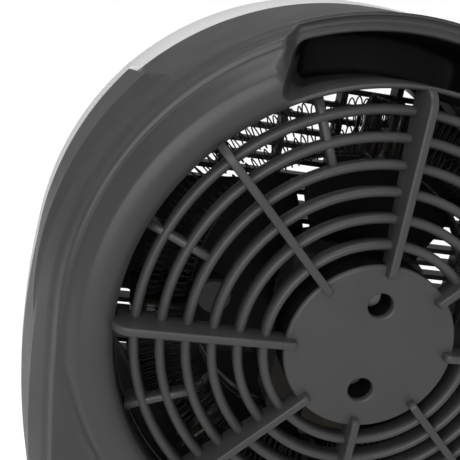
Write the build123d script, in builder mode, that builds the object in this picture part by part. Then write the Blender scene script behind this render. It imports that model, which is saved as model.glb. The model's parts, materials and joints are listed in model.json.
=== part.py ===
from build123d import *
import os
from collections import namedtuple
from math import asin, atan2, cos, degrees, radians, sin, sqrt, tan

os.makedirs("parts", exist_ok=True)

# Upright fan heater, in millimetres. It stands on Z = 0, its fan axis runs along Y, the air
# enters through the rear grille, which faces +Y, and leaves through the slats, which face -Y.
# Depths are counted from the crests of the inlet rings towards the front.

# Body outline, seen along the fan axis
hub_height = 150.0
crown_rise = 106.5
half_width = 114.8
crown_radius = 187.0
crown_half_angle = 3.0
shoulder_radius = 108.6
side_radius = 300.0
base_split_height = 16.0

# Body profile, front to rear
widest_depth = 80.0
seam_depth = 50.0
front_depth = 122.0
barrel_radius = 152.0
front_edge_radius = 9.0
shell_wall = 2.5

# Stepped rim of the rear shell: arches nearly concentric with the inlet, each at its own depth,
# that rise from the foot of the wall over two ridges to the plateau
foot_rise = 99.6
foot_top_radius = 140.0
foot_shoulder_radius = 101.8
foot_half_width = 104.6
foot_side_radius = 400.0
foot_depth = 20.0
outer_ridge_radius = 99.9
outer_ridge_depth = 11.8
groove_rise = 98.6
groove_radius = 97.8
groove_depth = 9.6
inner_ridge_rise = 97.6
inner_ridge_radius = 96.0
inner_ridge_depth = 4.8
ridge_side_radius = 700.0
ridge_round = 1.2
ridge_skin = 1.3
plateau_step = 2.6
plateau_depth = 4.3
sweep_overrun = 2.0

# Raised band round each shoulder, concentric with the inlet, as radius and depth
band_foot_radius = 102.6
band_foot_depth = 20.0
band_edge_radius = 106.2
band_edge_depth = 25.0
band_seam_radius = 109.6
band_front_radius = 110.4
band_front_depth = 83.0
band_fade_radius = 107.0
band_fade_depth = 104.0
band_inner_radius = 96.0
band_top = (78.6, 72.0)
band_top_tilt = 8.7

# Domed ring round the inlet
inlet_radius = 79.5
inlet_lip_depth = 1.4
inlet_lip_length = 10.0
dome_crest_radius = 86.4
dome_rise = 2.9
dome_foot_radius = 94.7
dome_wall = 2.4

# Handle pocket, whose sides close in with depth, and the scoop round its mouth
pocket_half_width = 41.6
pocket_draft = 17.4
pocket_floor_radius = 81.0
pocket_roof_radius = 94.8
pocket_corner_radius = 5.0
pocket_foot_radius = 2.6
pocket_depth = 45.0
pocket_wall = 1.8
pocket_collar = 9.0
scoop_floor_depth = 13.5
scoop_floor_half_width = 40.5
scoop_floor_radius = 96.5
scoop_floor_corner = 7.0
scoop_floor_low_radius = 86.0
scoop_rim_depth = 4.0
scoop_rim_half_width = 46.3
scoop_rim_radius = 99.5
scoop_rim_corner = 10.0
scoop_rim_low_radius = 91.0

# Inlet grille
ring_count = 6
first_ring_radius = 32.5
ring_pitch = 8.0
ring_width = 3.2
ring_depth = 6.0
ring_round = 1.2
hub_radius = 25.6
hub_wall = 3.0
hub_cup_depth = 12.0
hub_round = 0.8
hub_inner_round = 0.3
fin_count = 8
fin_thickness = 2.5
fin_stand = 4.0
fin_corner_radius = 7.5
fin_tip_radius = 21.0
rib_first_ring = 4
rib_thickness = 2.6
grille_clearance = 0.2
hook_ring_width = 5.2
hook_ring_depth = 2.5
hook_gap_angle = 36.0

# Outlet grille
outlet_inset = 16.0
outlet_floor = -84.0
slat_pitch = 7.1
slat_thickness = 2.4
slat_depth = 8.5
post_pitch = 26.0
post_thickness = 3.0
outlet_frame_width = 3.6
slat_bite = 1.0
fit_gap = 0.3
flange_overlap = 2.5

# Tongue of the front shell, which slides into the rear shell at the seam
tongue_reach = 3.5
tongue_wall = 1.2
tongue_gap = 1.2
seam_gap = 0.05

# Air duct
duct_radius = 85.0
duct_wall = 1.5
duct_flange_radius = 91.2
duct_straight_end = 58.0
duct_mouth_radius = 93.5
duct_mouth_depth = 98.0
duct_notch_gap = 1.0

# Motor, its shaft and the fan
screw_hole_offset = 14.2
access_bore_radius = 4.0
tower_radius = 5.8
tower_floor = 3.0
screw_shank_radius = 1.5
screw_clearance = 0.2
bracket_thickness = 1.6
bracket_radius = 19.0
bracket_span = 47.0
bracket_arm_width = 12.0
bracket_leg = 3.0
bearing_seat_wall = 2.0
stator_gap = 7.4
stator_length = 16.0
stator_half_width = 23.0
stator_top = 22.0
stator_bottom = -38.0
stator_limb = 10.0
stator_chamfer = 2.0
pole_web = 4.0
air_gap = 0.4
rotor_radius = 12.3
rotor_overhang = 1.0
coil_half_width = 11.0
coil_build = 5.5
coil_bobbin_gap = 0.3
coil_chamfer = 1.0
shaft_radius = 2.0
shaft_running_gap = 0.03
bearing_radius = 5.0
bearing_length = 5.5
shaft_tail = 2.4
fan_depth = 56.0
fan_hub_length = 20.0
fan_hub_radius = 17.0
fan_hub_round = 4.0
fan_boss_wall = 3.0
blade_root_sink = 2.0
fan_tip_radius = 81.0
blade_count = 7
blade_thickness = 1.8
blade_root_chord = 24.0
blade_tip_chord = 40.0
blade_root_pitch = 48.0
blade_tip_pitch = 24.0
nut_height = 4.0
nut_radius = 4.6

# Heating elements and the mica frame that carries them
element_edge_gap = 6.3
element_pitch = 9.5
element_depth = 28.0
outer_element_loops = 24
inner_element_loops = 20
loop_radius = 3.0
wire_radius = 0.5
mica_plates = 8
mica_thickness = 1.0
mica_rear_depth = 15.0
mica_front_depth = 48.0
mica_inner_radius = 53.0
mica_hole_gap = 0.6
lug_thickness = 3.0
lug_size = 4.5
lead_length = 1.5
cutout_radius = 6.5
cutout_length = 8.0
fuse_radius = 2.0
fuse_length = 11.0
cutout_chamfer = 0.8
tangent_step = 0.001

# Control panel with its two knobs and the lamp
panel_half_width = 70.0
panel_top = -91.0
panel_height = 35.0
panel_corner_radius = 10.0
panel_stand = 0.6
knob_offset = 38.0
knob_radius = 15.0
knob_height = 13.4
knob_gap = 1.0
knob_skirt_step = 1.5
knob_crown_round = 1.0
knob_flutes = 18
knob_flute_radius = 1.2
knob_mark_width = 1.2
knob_mark_depth = 0.8
knob_stem_radius = 3.0
stem_running_gap = 0.06
switch_size = 28.0
switch_length = 15.0
switch_corner_radius = 2.0
tag_thickness = 0.8
tag_width = 5.0
tag_length = 8.0
lamp_radius = 4.0
lamp_rise = 8.5
lamp_dome = 2.0
lamp_body_wall = 1.0
lamp_tag_width = 2.8

# Base tray, feet and the tip-over switch
foot_height = 5.0
foot_radius = 8.0
foot_recess = 1.0
foot_chamfer = 1.0
foot_spread = 68.0
foot_rear_depth = 29.0
foot_front_depth = 100.0
tray_floor = 2.5
tray_edge = 3.0
tray_slope = 35.0
plunger_depth = 62.0
plunger_radius = 4.0
plunger_gap = 0.3
plunger_travel = 4.0
plunger_lift = 0.3
plunger_guide = 4.5
collar_height = 2.0
collar_step = 2.0
pin_radius = 2.0
pin_end_gap = 2.0
switch_head = 4.0
tip_switch_length = 26.0
tip_switch_width = 20.0
tip_spring_turns = 6
tip_spring_wire = 0.35

# Screws, the cord's gland and the terminal block
screw_radius = 1.95
screw_hole_gap = 0.05
screw_pass_gap = 0.2
screw_head_radius = 3.5
screw_head_height = 2.3
screw_boss_radius = 4.5
screw_length = 20.0
shell_screw_place = (84.0, -92.0)
shell_screw_seat_depth = 38.0
base_screw_rear = (66.0, 13.0)
base_screw_front = (79.0, 112.0)
base_screw_seat = 3.5
block_width = 10.0
block_height = 16.0
gland_place = (42.0, -112.0)
gland_radius = 7.0
gland_bore_radius = 3.6
gland_flange = 2.5
terminal_place = (-42.0, 62.0)
terminal_size = (34.0, 15.0, 14.0)
terminal_bore_radius = 2.0

# Values that follow from the sizes above
front_reach = front_depth + panel_stand + knob_gap + knob_height
ring_plane_y = (front_reach - fin_stand) / 2
Arch = namedtuple("Arch", "rise top_radius shoulder_radius half_width side_radius")
body_arch = Arch(crown_rise, crown_radius, shoulder_radius, half_width, side_radius)
foot_arch = Arch(foot_rise, foot_top_radius, foot_shoulder_radius, foot_half_width, foot_side_radius)
outer_ridge_arch = Arch(*[outer_ridge_radius] * 4, ridge_side_radius)
groove_arch = Arch(groove_rise, *[groove_radius] * 3, ridge_side_radius)
inner_ridge_arch = Arch(inner_ridge_rise, *[inner_ridge_radius] * 3, ridge_side_radius)
body_floor = base_split_height - hub_height
sweep_floor = body_floor - sweep_overrun
ring_radii = [first_ring_radius + index * ring_pitch for index in range(ring_count)]
fin_reach = inlet_radius - grille_clearance
hook_depth = inlet_lip_length + hook_ring_depth
outer_element_radius = inlet_radius - element_edge_gap - loop_radius - wire_radius
inner_element_radius = outer_element_radius - element_pitch
seat_depth = front_depth - shell_wall
bracket_depth = hub_cup_depth
stator_depth = bracket_depth + bracket_thickness + stator_gap
front_bracket_depth = stator_depth + stator_length + stator_gap
fan_axis = Axis((0, ring_plane_y, hub_height), (0, 1, 0))


def barrel_inset(depth):
    """How far the bulging side stands inside the outline at this depth."""
    return (depth - widest_depth) ** 2 / (2 * barrel_radius)


seam_inset = barrel_inset(seam_depth)


def rear_plane(depth):
    """Plane across the fan axis at this depth: x to the right seen from behind, y up."""
    return Plane(origin=(0, ring_plane_y - depth, hub_height), x_dir=(-1, 0, 0), z_dir=(0, 1, 0))


def axis_plane(angle=0.0):
    """Plane through the fan axis: x is the radius at this angle, y points to the rear."""
    turn = radians(angle)
    return Plane(
        origin=(0, ring_plane_y, hub_height),
        x_dir=(-cos(turn), 0, sin(turn)),
        z_dir=(-sin(turn), 0, -cos(turn)),
    )


def arch_centres(arch):
    """Centres of an arch's top, shoulder and side arcs, and the angle at which its side ends."""
    shift = arch.top_radius - arch.shoulder_radius
    top = (0.0, arch.rise - arch.top_radius)
    shoulder = (
        shift * sin(radians(crown_half_angle)),
        top[1] + shift * cos(radians(crown_half_angle)),
    )
    side_x = arch.half_width - arch.side_radius
    run = shoulder[0] - side_x
    drop = sqrt(max(0, (arch.side_radius - arch.shoulder_radius) ** 2 - run**2))
    return top, shoulder, (side_x, shoulder[1] - drop), degrees(atan2(drop, run))


def side_angle(floor, inset, arch):
    """Angle on the arch's side arc at which it meets this height, counted from the fan axis."""
    side = arch_centres(arch)[2]
    return degrees(asin((floor - side[1]) / (arch.side_radius - inset)))


def arch_reach(floor, inset, arch):
    """Half width of the arch, moved inwards by inset, at this height."""
    side = arch_centres(arch)[2]
    return side[0] + (arch.side_radius - inset) * cos(radians(side_angle(floor, inset, arch)))


def outline_arcs(floor, inset, arch=body_arch):
    """Draw the arch, moved inwards by inset, from one end at floor to the other."""
    top, shoulder, side, side_end = arch_centres(arch)
    start = side_angle(floor, inset, arch)
    crown_start = 90 - crown_half_angle
    shoulder_arc = crown_start - side_end
    CenterArc(side, arch.side_radius - inset, start, side_end - start)
    CenterArc(shoulder, arch.shoulder_radius - inset, side_end, shoulder_arc)
    CenterArc(top, arch.top_radius - inset, crown_start, 2 * crown_half_angle)
    CenterArc((-shoulder[0], shoulder[1]), arch.shoulder_radius - inset, 180 - crown_start, shoulder_arc)
    CenterArc((-side[0], side[1]), arch.side_radius - inset, 180 - side_end, side_end - start)


def arched_face(inset, floor=body_floor, arch=body_arch):
    """The arch, moved inwards by inset, filled and closed by a level line at floor."""
    with BuildSketch() as face:
        with BuildLine():
            outline_arcs(floor, inset, arch)
            reach = arch_reach(floor, inset, arch)
            Line((-reach, floor), (reach, floor))
        make_face()
    return face.sketch


def level_stack(levels):
    """Solid that runs straight from each level to the next: an arch, its inset and its depth."""
    with BuildPart() as stack:
        for pair in zip(levels, levels[1:]):
            for arch, inset, depth in pair:
                with BuildSketch(rear_plane(depth)):
                    add(arched_face(inset, sweep_floor, arch))
            loft(ruled=True)
    return stack.part


def rim_plane(floor):
    """Plane across the outline's first end: x is the inset, y points to the rear."""
    start = radians(side_angle(floor, 0, body_arch))
    return Plane(
        origin=(-arch_reach(floor, 0, body_arch), ring_plane_y, hub_height + floor),
        x_dir=(cos(start), 0, -sin(start)),
        z_dir=(sin(start), 0, cos(start)),
    )


def front_wall_outline(skin=0.0):
    """Draw the front shell's profile from the seam to the outlet, skin mm inside its surface."""
    edge_depth = front_depth - front_edge_radius
    edge_inset = barrel_inset(edge_depth)
    round_inset = edge_inset + front_edge_radius
    middle = front_edge_radius * (1 - sqrt(0.5))
    ThreePointArc((seam_inset + skin, -seam_depth), (skin, -widest_depth), (edge_inset + skin, -edge_depth))
    ThreePointArc(
        (edge_inset + skin, -edge_depth),
        (edge_inset + middle + skin * sqrt(0.5), -front_depth + middle + skin * sqrt(0.5)),
        (round_inset, -front_depth + skin),
    )
    Line((round_inset, -front_depth + skin), (outlet_inset, -front_depth + skin))


def sector_face(half_span, top_radius, corner_radius, low_radius):
    """Fill the space between two arcs round the fan axis, cut off straight at both sides."""
    Rectangle(2 * half_span, 2 * top_radius, align=(Align.CENTER, Align.MIN))
    Circle(top_radius, mode=Mode.INTERSECT)
    Circle(low_radius, mode=Mode.SUBTRACT)
    fillet(vertices().group_by(Axis.Y)[-1], corner_radius)


def pocket_face(depth, spread=0.0, low_radius=pocket_floor_radius):
    """Fill the handle pocket's outline at this depth, its sides and roof moved outwards by spread."""
    half_span = pocket_half_width - depth * tan(radians(pocket_draft)) + spread
    sector_face(half_span, pocket_roof_radius + spread, pocket_corner_radius + spread, low_radius)
    fillet(vertices().group_by(Axis.Y)[0], pocket_foot_radius)


def scoop_rim_face():
    """Fill the scoop's outline where it is widest."""
    sector_face(scoop_rim_half_width, scoop_rim_radius, scoop_rim_corner, scoop_rim_low_radius)


def spoke_outline(inner, crest, hooked):
    """Draw a spoke of the inlet grille, from inner to the inlet's wall and its hook ring."""
    leg = fin_reach - ring_pitch / 2
    Line((inner, -ring_depth), (inner, crest))
    Line((inner, crest), (fin_reach, crest))
    if hooked:
        Polyline(
            (fin_reach, crest),
            (fin_reach, -inlet_lip_length),
            (fin_reach + hook_ring_width / 2, -inlet_lip_length),
            (fin_reach + hook_ring_width / 2, -hook_depth),
            (leg, -hook_depth),
            (leg, -ring_depth),
            (inner, -ring_depth),
        )
    else:
        Polyline((fin_reach, crest), (fin_reach, -ring_depth), (inner, -ring_depth))


def base_plane(height=base_split_height):
    """Level plane at this height: x across the body, y is minus the depth."""
    return Plane(origin=(0, ring_plane_y, height), x_dir=(1, 0, 0), z_dir=(0, 0, 1))


def both_sides(across, along):
    """The same place on both sides of the body's middle."""
    return (across, along), (-across, along)


def base_reach(inset, arch=body_arch):
    """Half width of the body where it meets the base tray, at this inset."""
    return arch_reach(body_floor, inset, arch)


def footprint_half():
    """Draw one half of the body's outline at the height where it meets the base tray."""
    edge_depth = front_depth - front_edge_radius
    edge_inset = barrel_inset(edge_depth)
    middle = front_edge_radius * (1 - sqrt(0.5))
    rear_corner = (base_reach(plateau_step, inner_ridge_arch), -plateau_depth)
    seam_corner = (base_reach(barrel_inset(seam_depth)), -seam_depth)
    front_corner = (base_reach(edge_inset), -edge_depth)
    round_end = (base_reach(edge_inset + front_edge_radius), -front_depth)
    Polyline(
        (0, -plateau_depth),
        rear_corner,
        (base_reach(0, outer_ridge_arch), -outer_ridge_depth),
        (base_reach(0, foot_arch), -foot_depth),
        seam_corner,
    )
    ThreePointArc(seam_corner, (base_reach(0), -widest_depth), front_corner)
    ThreePointArc(front_corner, (base_reach(edge_inset + middle), -front_depth + middle), round_end)
    Line(round_end, (0, -front_depth))


def dome_outline():
    """Draw the outer profile of the domed ring, from the inlet's lip down to its foot."""
    ThreePointArc(
        (inlet_radius, -inlet_lip_depth),
        (dome_crest_radius, dome_rise),
        (dome_foot_radius, -plateau_depth),
    )
    Line((dome_foot_radius, -plateau_depth), (dome_foot_radius, -plateau_depth - shell_wall))


def above_bands():
    """Fill all that lies above the tilted upper ends of the two raised bands."""
    far = 2 * crown_rise
    middle = band_top[1] + band_top[0] * tan(radians(band_top_tilt))
    end = middle - far * tan(radians(band_top_tilt))
    Polygon((0, middle), (far, end), (far, far), (-far, far), (-far, end), align=None)


# Raised bands of the rear shell: a ring round the inlet's axis, left where it stands out of the wall
rear_band_core = level_stack(
    [
        (body_arch, seam_inset + shell_wall / 2, seam_depth),
        (foot_arch, shell_wall / 2, foot_depth),
    ]
)
with BuildPart() as rear_band:
    with BuildSketch(axis_plane()):
        with BuildLine():
            Polyline(
                (band_inner_radius, -band_foot_depth),
                (band_foot_radius, -band_foot_depth),
                (band_edge_radius, -band_edge_depth),
                (band_seam_radius, -seam_depth),
                (band_inner_radius, -seam_depth),
                (band_inner_radius, -band_foot_depth),
            )
        make_face()
    revolve(axis=fan_axis)
    add(rear_band_core, mode=Mode.SUBTRACT)
    with BuildSketch(rear_plane(seam_depth)):
        above_bands()
    extrude(amount=seam_depth, mode=Mode.SUBTRACT)


# Raised bands of the front shell, which carry on from the rear ones and fade out
front_band_core = level_stack(
    [
        (body_arch, barrel_inset(band_fade_depth) + shell_wall / 2, band_fade_depth),
        (body_arch, shell_wall / 2, widest_depth),
        (body_arch, seam_inset + shell_wall / 2, seam_depth),
    ]
)
with BuildPart() as front_band:
    with BuildSketch(axis_plane()):
        with BuildLine():
            Polyline(
                (band_inner_radius, -seam_depth),
                (band_seam_radius, -seam_depth),
                (band_front_radius, -band_front_depth),
                (band_fade_radius, -band_fade_depth),
                (band_inner_radius, -band_fade_depth),
                (band_inner_radius, -seam_depth),
            )
        make_face()
    revolve(axis=fan_axis)
    add(front_band_core, mode=Mode.SUBTRACT)
    with BuildSketch(rear_plane(front_depth)):
        above_bands()
    extrude(amount=front_depth, mode=Mode.SUBTRACT)


# Domed ring of the inlet, solid round the handle pocket
with BuildPart() as inlet_dome:
    lip_inner = inlet_radius + dome_wall
    foot_inner = dome_foot_radius - 2 * dome_wall
    dome_floor = plateau_depth + shell_wall
    with BuildSketch(axis_plane()):
        with BuildLine():
            dome_outline()
            Line((dome_foot_radius, -dome_floor), (inlet_radius, -dome_floor))
            Line((inlet_radius, -dome_floor), (inlet_radius, -inlet_lip_depth))
        make_face()
    revolve(axis=fan_axis)
    with BuildSketch(rear_plane(dome_floor)):
        collar_width = 2 * (pocket_half_width + pocket_collar)
        Rectangle(collar_width, 2 * crown_rise, align=(Align.CENTER, Align.MIN))
    extrude(amount=dome_floor + dome_rise + shell_wall, mode=Mode.INTERSECT)
    with BuildSketch(axis_plane()):
        with BuildLine():
            Polyline(
                (lip_inner, -inlet_lip_depth - dome_wall),
                (lip_inner, -inlet_lip_length),
                (inlet_radius, -inlet_lip_length),
                (inlet_radius, -inlet_lip_depth),
            )
            dome_outline()
            Line((dome_foot_radius, -dome_floor), (foot_inner, -dome_floor))
            ThreePointArc(
                (foot_inner, -dome_floor),
                (dome_crest_radius, dome_rise - dome_wall),
                (lip_inner, -inlet_lip_depth - dome_wall),
            )
        make_face()
    revolve(axis=fan_axis)
    with BuildSketch(rear_plane(inlet_lip_length)):
        add(arched_face(ridge_round, arch=inner_ridge_arch))
    extrude(amount=inlet_lip_length + dome_rise + shell_wall, mode=Mode.INTERSECT)


# Rear shell: the wall and its stepped rim, the bands, the dome and the handle pocket
rear_levels = [
    (body_arch, seam_inset, seam_depth),
    (foot_arch, 0, foot_depth),
    (outer_ridge_arch, 0, outer_ridge_depth + ridge_round),
    (outer_ridge_arch, ridge_round / 2, outer_ridge_depth),
    (groove_arch, 0, groove_depth),
    (inner_ridge_arch, 0, inner_ridge_depth + ridge_round),
    (inner_ridge_arch, ridge_round / 2, inner_ridge_depth),
    (inner_ridge_arch, plateau_step, plateau_depth),
]
rear_cavity_levels = [
    (body_arch, seam_inset + shell_wall, seam_depth),
    (foot_arch, shell_wall, foot_depth),
    (outer_ridge_arch, ridge_skin, outer_ridge_depth + shell_wall),
    (inner_ridge_arch, ridge_skin, plateau_depth + shell_wall),
]
with BuildPart() as rear_cavity:
    add(level_stack(rear_cavity_levels))
    with BuildSketch(rear_plane(scoop_floor_depth + pocket_wall)):
        scoop_backing = 2 * (scoop_rim_half_width + pocket_wall)
        Rectangle(scoop_backing, 2 * crown_rise, align=(Align.CENTER, Align.MIN))
        Circle(scoop_floor_low_radius, mode=Mode.SUBTRACT)
    extrude(amount=scoop_floor_depth, mode=Mode.SUBTRACT)
with BuildPart() as rear_shell:
    add(level_stack(rear_levels))
    add(rear_cavity.part, mode=Mode.SUBTRACT)
    add(rear_band.part)
    with BuildSketch(rear_plane(dome_floor)):
        Circle(dome_foot_radius - dome_wall / 2)
    extrude(amount=dome_floor + dome_rise, mode=Mode.SUBTRACT)
    add(inlet_dome.part)

    with BuildSketch(rear_plane(pocket_depth + pocket_wall)):
        pocket_face(pocket_depth, pocket_wall, inlet_radius)
    with BuildSketch(rear_plane(inner_ridge_depth + ridge_round)):
        pocket_face(inner_ridge_depth, pocket_wall, inlet_radius)
    loft()
    with BuildSketch(rear_plane(pocket_depth)):
        pocket_face(pocket_depth)
    with BuildSketch(rear_plane(-fin_stand)):
        pocket_face(-fin_stand)
    loft(mode=Mode.SUBTRACT)
    with BuildSketch(rear_plane(scoop_floor_depth)):
        sector_face(
            scoop_floor_half_width, scoop_floor_radius, scoop_floor_corner, scoop_floor_low_radius
        )
    with BuildSketch(rear_plane(scoop_rim_depth)):
        scoop_rim_face()
    loft(mode=Mode.SUBTRACT)
    with BuildSketch(rear_plane(scoop_rim_depth)):
        scoop_rim_face()
    extrude(amount=scoop_rim_depth + fin_stand, mode=Mode.SUBTRACT)
    with BuildSketch(rear_plane(pocket_depth + 2 * pocket_wall)):
        Circle(inlet_radius)
    extrude(amount=2 * pocket_depth, mode=Mode.SUBTRACT)

    with BuildSketch(rear_plane(seam_depth)):
        with Locations(*both_sides(*shell_screw_place)):
            Circle(screw_boss_radius)
    extrude(amount=seam_depth - plateau_depth - shell_wall / 2)
    with BuildSketch(base_plane()):
        with Locations(*both_sides(base_screw_rear[0], -base_screw_rear[1])):
            Rectangle(block_width, 2 * (base_screw_rear[1] - plateau_depth - shell_wall / 2))
    extrude(amount=block_height)
    with BuildSketch(rear_plane(shell_screw_seat_depth)):
        with Locations(*both_sides(*shell_screw_place)):
            Circle(screw_head_radius + fit_gap)
    extrude(amount=seam_depth, mode=Mode.SUBTRACT)
    with BuildSketch(rear_plane(seam_depth)):
        with Locations(*both_sides(*shell_screw_place)):
            Circle(screw_radius + screw_pass_gap)
        with Locations(gland_place):
            Circle(gland_radius + screw_hole_gap)
    extrude(amount=seam_depth, mode=Mode.SUBTRACT)
    with BuildSketch(base_plane()):
        with Locations(*both_sides(base_screw_rear[0], -base_screw_rear[1])):
            Circle(screw_radius + screw_hole_gap)
    extrude(amount=block_height - shell_wall, mode=Mode.SUBTRACT)
    split(bisect_by=Plane.XY.offset(base_split_height), keep=Keep.TOP)
rear_shell.part.label = "rear_shell"
export_step(rear_shell.part, "parts/rear_shell.step")


# Inlet grille: the hub with its cup, the rings, the fins, the short ribs and the hook ring
with BuildPart() as rear_grille:
    with BuildSketch(axis_plane()):
        with Locations(*[(radius + ring_width / 2, 0) for radius in ring_radii]):
            Rectangle(ring_width, ring_depth, align=(Align.CENTER, Align.MAX))
        chamfer(vertices().group_by(Axis.Y)[-1], ring_round)
    revolve(axis=fan_axis)
    with BuildSketch(axis_plane()):
        with BuildLine():
            FilletPolyline(
                (0, 0),
                (hub_radius, 0),
                (hub_radius, -hub_cup_depth),
                (hub_radius - hub_wall / 2, -hub_cup_depth),
                (hub_radius - hub_wall / 2, -hub_wall),
                (0, -hub_wall),
                radius=(hub_round, hub_inner_round, hub_inner_round, hub_round),
            )
            Line((0, -hub_wall), (0, 0))
        make_face()
    revolve(axis=fan_axis)
    for index in range(fin_count):
        angle = index * 360 / fin_count
        with BuildSketch(axis_plane(angle)):
            with BuildLine():
                spoke_outline(fin_tip_radius, fin_stand, abs(angle - 90) > hook_gap_angle)
            make_face()
            crest_corners = vertices().group_by(Axis.Y)[-1].sort_by(Axis.X)
            fillet(crest_corners[-1], fin_corner_radius)
            fillet(vertices().group_by(Axis.Y)[-1].sort_by(Axis.X)[0], fin_thickness)
        extrude(amount=fin_thickness / 2, both=True)
    for index in range(fin_count):
        angle = (index + 0.5) * 360 / fin_count
        with BuildSketch(axis_plane(angle)):
            with BuildLine():
                spoke_outline(
                    ring_radii[rib_first_ring - 1] + ring_width / 2,
                    -ring_round,
                    abs(angle - 90) > hook_gap_angle,
                )
            make_face()
        extrude(amount=rib_thickness / 2, both=True)
    with BuildSketch(rear_plane(hook_depth)):
        Circle(inlet_radius + hook_ring_width)
        Circle(inlet_radius, mode=Mode.SUBTRACT)
        cut_reach = 2 * inlet_radius
        gap_corner = cut_reach * sin(radians(hook_gap_angle)), cut_reach * cos(radians(hook_gap_angle))
        with BuildLine():
            Polyline((0, 0), gap_corner, (-gap_corner[0], gap_corner[1]), (0, 0))
        make_face(mode=Mode.SUBTRACT)
    extrude(amount=hook_ring_depth)
    with BuildSketch(rear_plane(hub_cup_depth)):
        with Locations((0, screw_hole_offset), (0, -screw_hole_offset)):
            Circle(tower_radius)
    extrude(amount=hub_cup_depth - hub_wall / 2)
    with BuildSketch(rear_plane(hub_cup_depth - tower_floor)):
        with Locations((0, screw_hole_offset), (0, -screw_hole_offset)):
            Circle(access_bore_radius)
    extrude(amount=hub_cup_depth, mode=Mode.SUBTRACT)
    with BuildSketch(rear_plane(hub_cup_depth)):
        with Locations((0, screw_hole_offset), (0, -screw_hole_offset)):
            Circle(screw_shank_radius + screw_clearance)
    extrude(amount=hub_cup_depth, mode=Mode.SUBTRACT)
    hole_rims = edges().filter_by(GeomType.CIRCLE).filter_by(
        lambda edge: abs(edge.radius - access_bore_radius) < screw_clearance / 2
    )
    fillet(hole_rims.sort_by(Axis.Y)[-2:], hub_round)
rear_grille.part.label = "rear_grille"
export_step(rear_grille.part, "parts/rear_grille.step")


# Front shell
with BuildPart() as front_shell:
    with BuildLine(rear_plane(0)) as front_path:
        outline_arcs(sweep_floor, 0)
    with BuildSketch(rim_plane(sweep_floor)):
        with BuildLine():
            front_wall_outline()
            front_wall_outline(shell_wall)
            tongue_inset = seam_inset + shell_wall + tongue_gap
            Line((outlet_inset, -front_depth), (outlet_inset, -front_depth + shell_wall))
            Line((seam_inset, -seam_depth), (seam_inset + shell_wall, -seam_depth))
        make_face()
        with BuildLine():
            Polyline(
                (seam_inset + shell_wall / 2, -seam_depth - shell_wall),
                (seam_inset + shell_wall / 2, -seam_depth - seam_gap),
                (tongue_inset, -seam_depth - seam_gap),
                (tongue_inset, -seam_depth + tongue_reach),
                (tongue_inset + tongue_wall, -seam_depth + tongue_reach),
                (tongue_inset + tongue_wall, -seam_depth - shell_wall),
                (seam_inset + shell_wall / 2, -seam_depth - 2 * shell_wall),
                (seam_inset + shell_wall / 2, -seam_depth - shell_wall),
            )
        make_face()
    sweep(path=front_path.wire())
    add(front_band.part)
    with BuildSketch(rear_plane(front_depth)):
        add(arched_face(outlet_inset - shell_wall / 4, sweep_floor))
        with Locations((0, outlet_floor)):
            Rectangle(4 * half_width, 2 * crown_rise, align=(Align.CENTER, Align.MIN), mode=Mode.SUBTRACT)
        with Locations((0, panel_top - panel_height / 2)):
            RectangleRounded(2 * panel_half_width, panel_height, panel_corner_radius, mode=Mode.SUBTRACT)
    extrude(amount=shell_wall)
    with BuildSketch(rear_plane(front_depth - shell_wall / 2)):
        with Locations(*both_sides(*shell_screw_place)):
            Circle(screw_boss_radius)
    extrude(amount=front_depth - shell_wall / 2 - seam_depth)
    with BuildSketch(base_plane()):
        with Locations(*both_sides(base_screw_front[0], -base_screw_front[1])):
            Rectangle(block_width, 2 * (front_depth - shell_wall / 2 - base_screw_front[1]))
    extrude(amount=block_height)
    with BuildSketch(rear_plane(seam_depth)):
        with Locations(*both_sides(*shell_screw_place)):
            Circle(screw_radius + screw_hole_gap)
    extrude(amount=-screw_length, mode=Mode.SUBTRACT)
    with BuildSketch(base_plane()):
        with Locations(*both_sides(base_screw_front[0], -base_screw_front[1])):
            Circle(screw_radius + screw_hole_gap)
    extrude(amount=block_height - shell_wall, mode=Mode.SUBTRACT)
    split(bisect_by=Plane.XY.offset(base_split_height), keep=Keep.TOP)
front_shell.part.label = "front_shell"
export_step(front_shell.part, "parts/front_shell.step")


# Outlet grille: a frame that clips behind the front shell, level slats and upright posts
with BuildPart() as front_grille:
    frame_inset = outlet_inset + outlet_frame_width
    frame_floor = outlet_floor + outlet_frame_width
    with BuildSketch(rear_plane(front_depth)):
        add(arched_face(outlet_inset + fit_gap, outlet_floor + fit_gap))
        add(arched_face(frame_inset, frame_floor), mode=Mode.SUBTRACT)
    extrude(amount=slat_depth)
    with BuildSketch(rear_plane(seat_depth)):
        add(arched_face(outlet_inset - flange_overlap, outlet_floor - flange_overlap))
        add(arched_face(frame_inset, frame_floor), mode=Mode.SUBTRACT)
    extrude(amount=shell_wall)
    outlet_height = crown_rise - outlet_inset - outlet_floor
    with BuildSketch(rear_plane(front_depth)):
        slat_count = int(outlet_height / slat_pitch)
        slat_heights = [outlet_floor + index * slat_pitch for index in range(1, slat_count + 1)]
        with Locations(*[(0, height) for height in slat_heights]):
            Rectangle(2 * half_width, slat_thickness)
        add(arched_face(outlet_inset + slat_bite, outlet_floor), mode=Mode.INTERSECT)
    extrude(amount=slat_depth)
    with BuildSketch(rear_plane(front_depth - slat_thickness)):
        post_count = 2 * int(half_width / post_pitch)
        with GridLocations(post_pitch, 1, post_count, 1):
            Rectangle(post_thickness, 4 * half_width)
        add(arched_face(outlet_inset + slat_bite, outlet_floor + slat_bite), mode=Mode.INTERSECT)
    extrude(amount=slat_depth)
front_grille.part.label = "front_grille"
export_step(front_grille.part, "parts/front_grille.step")


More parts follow.
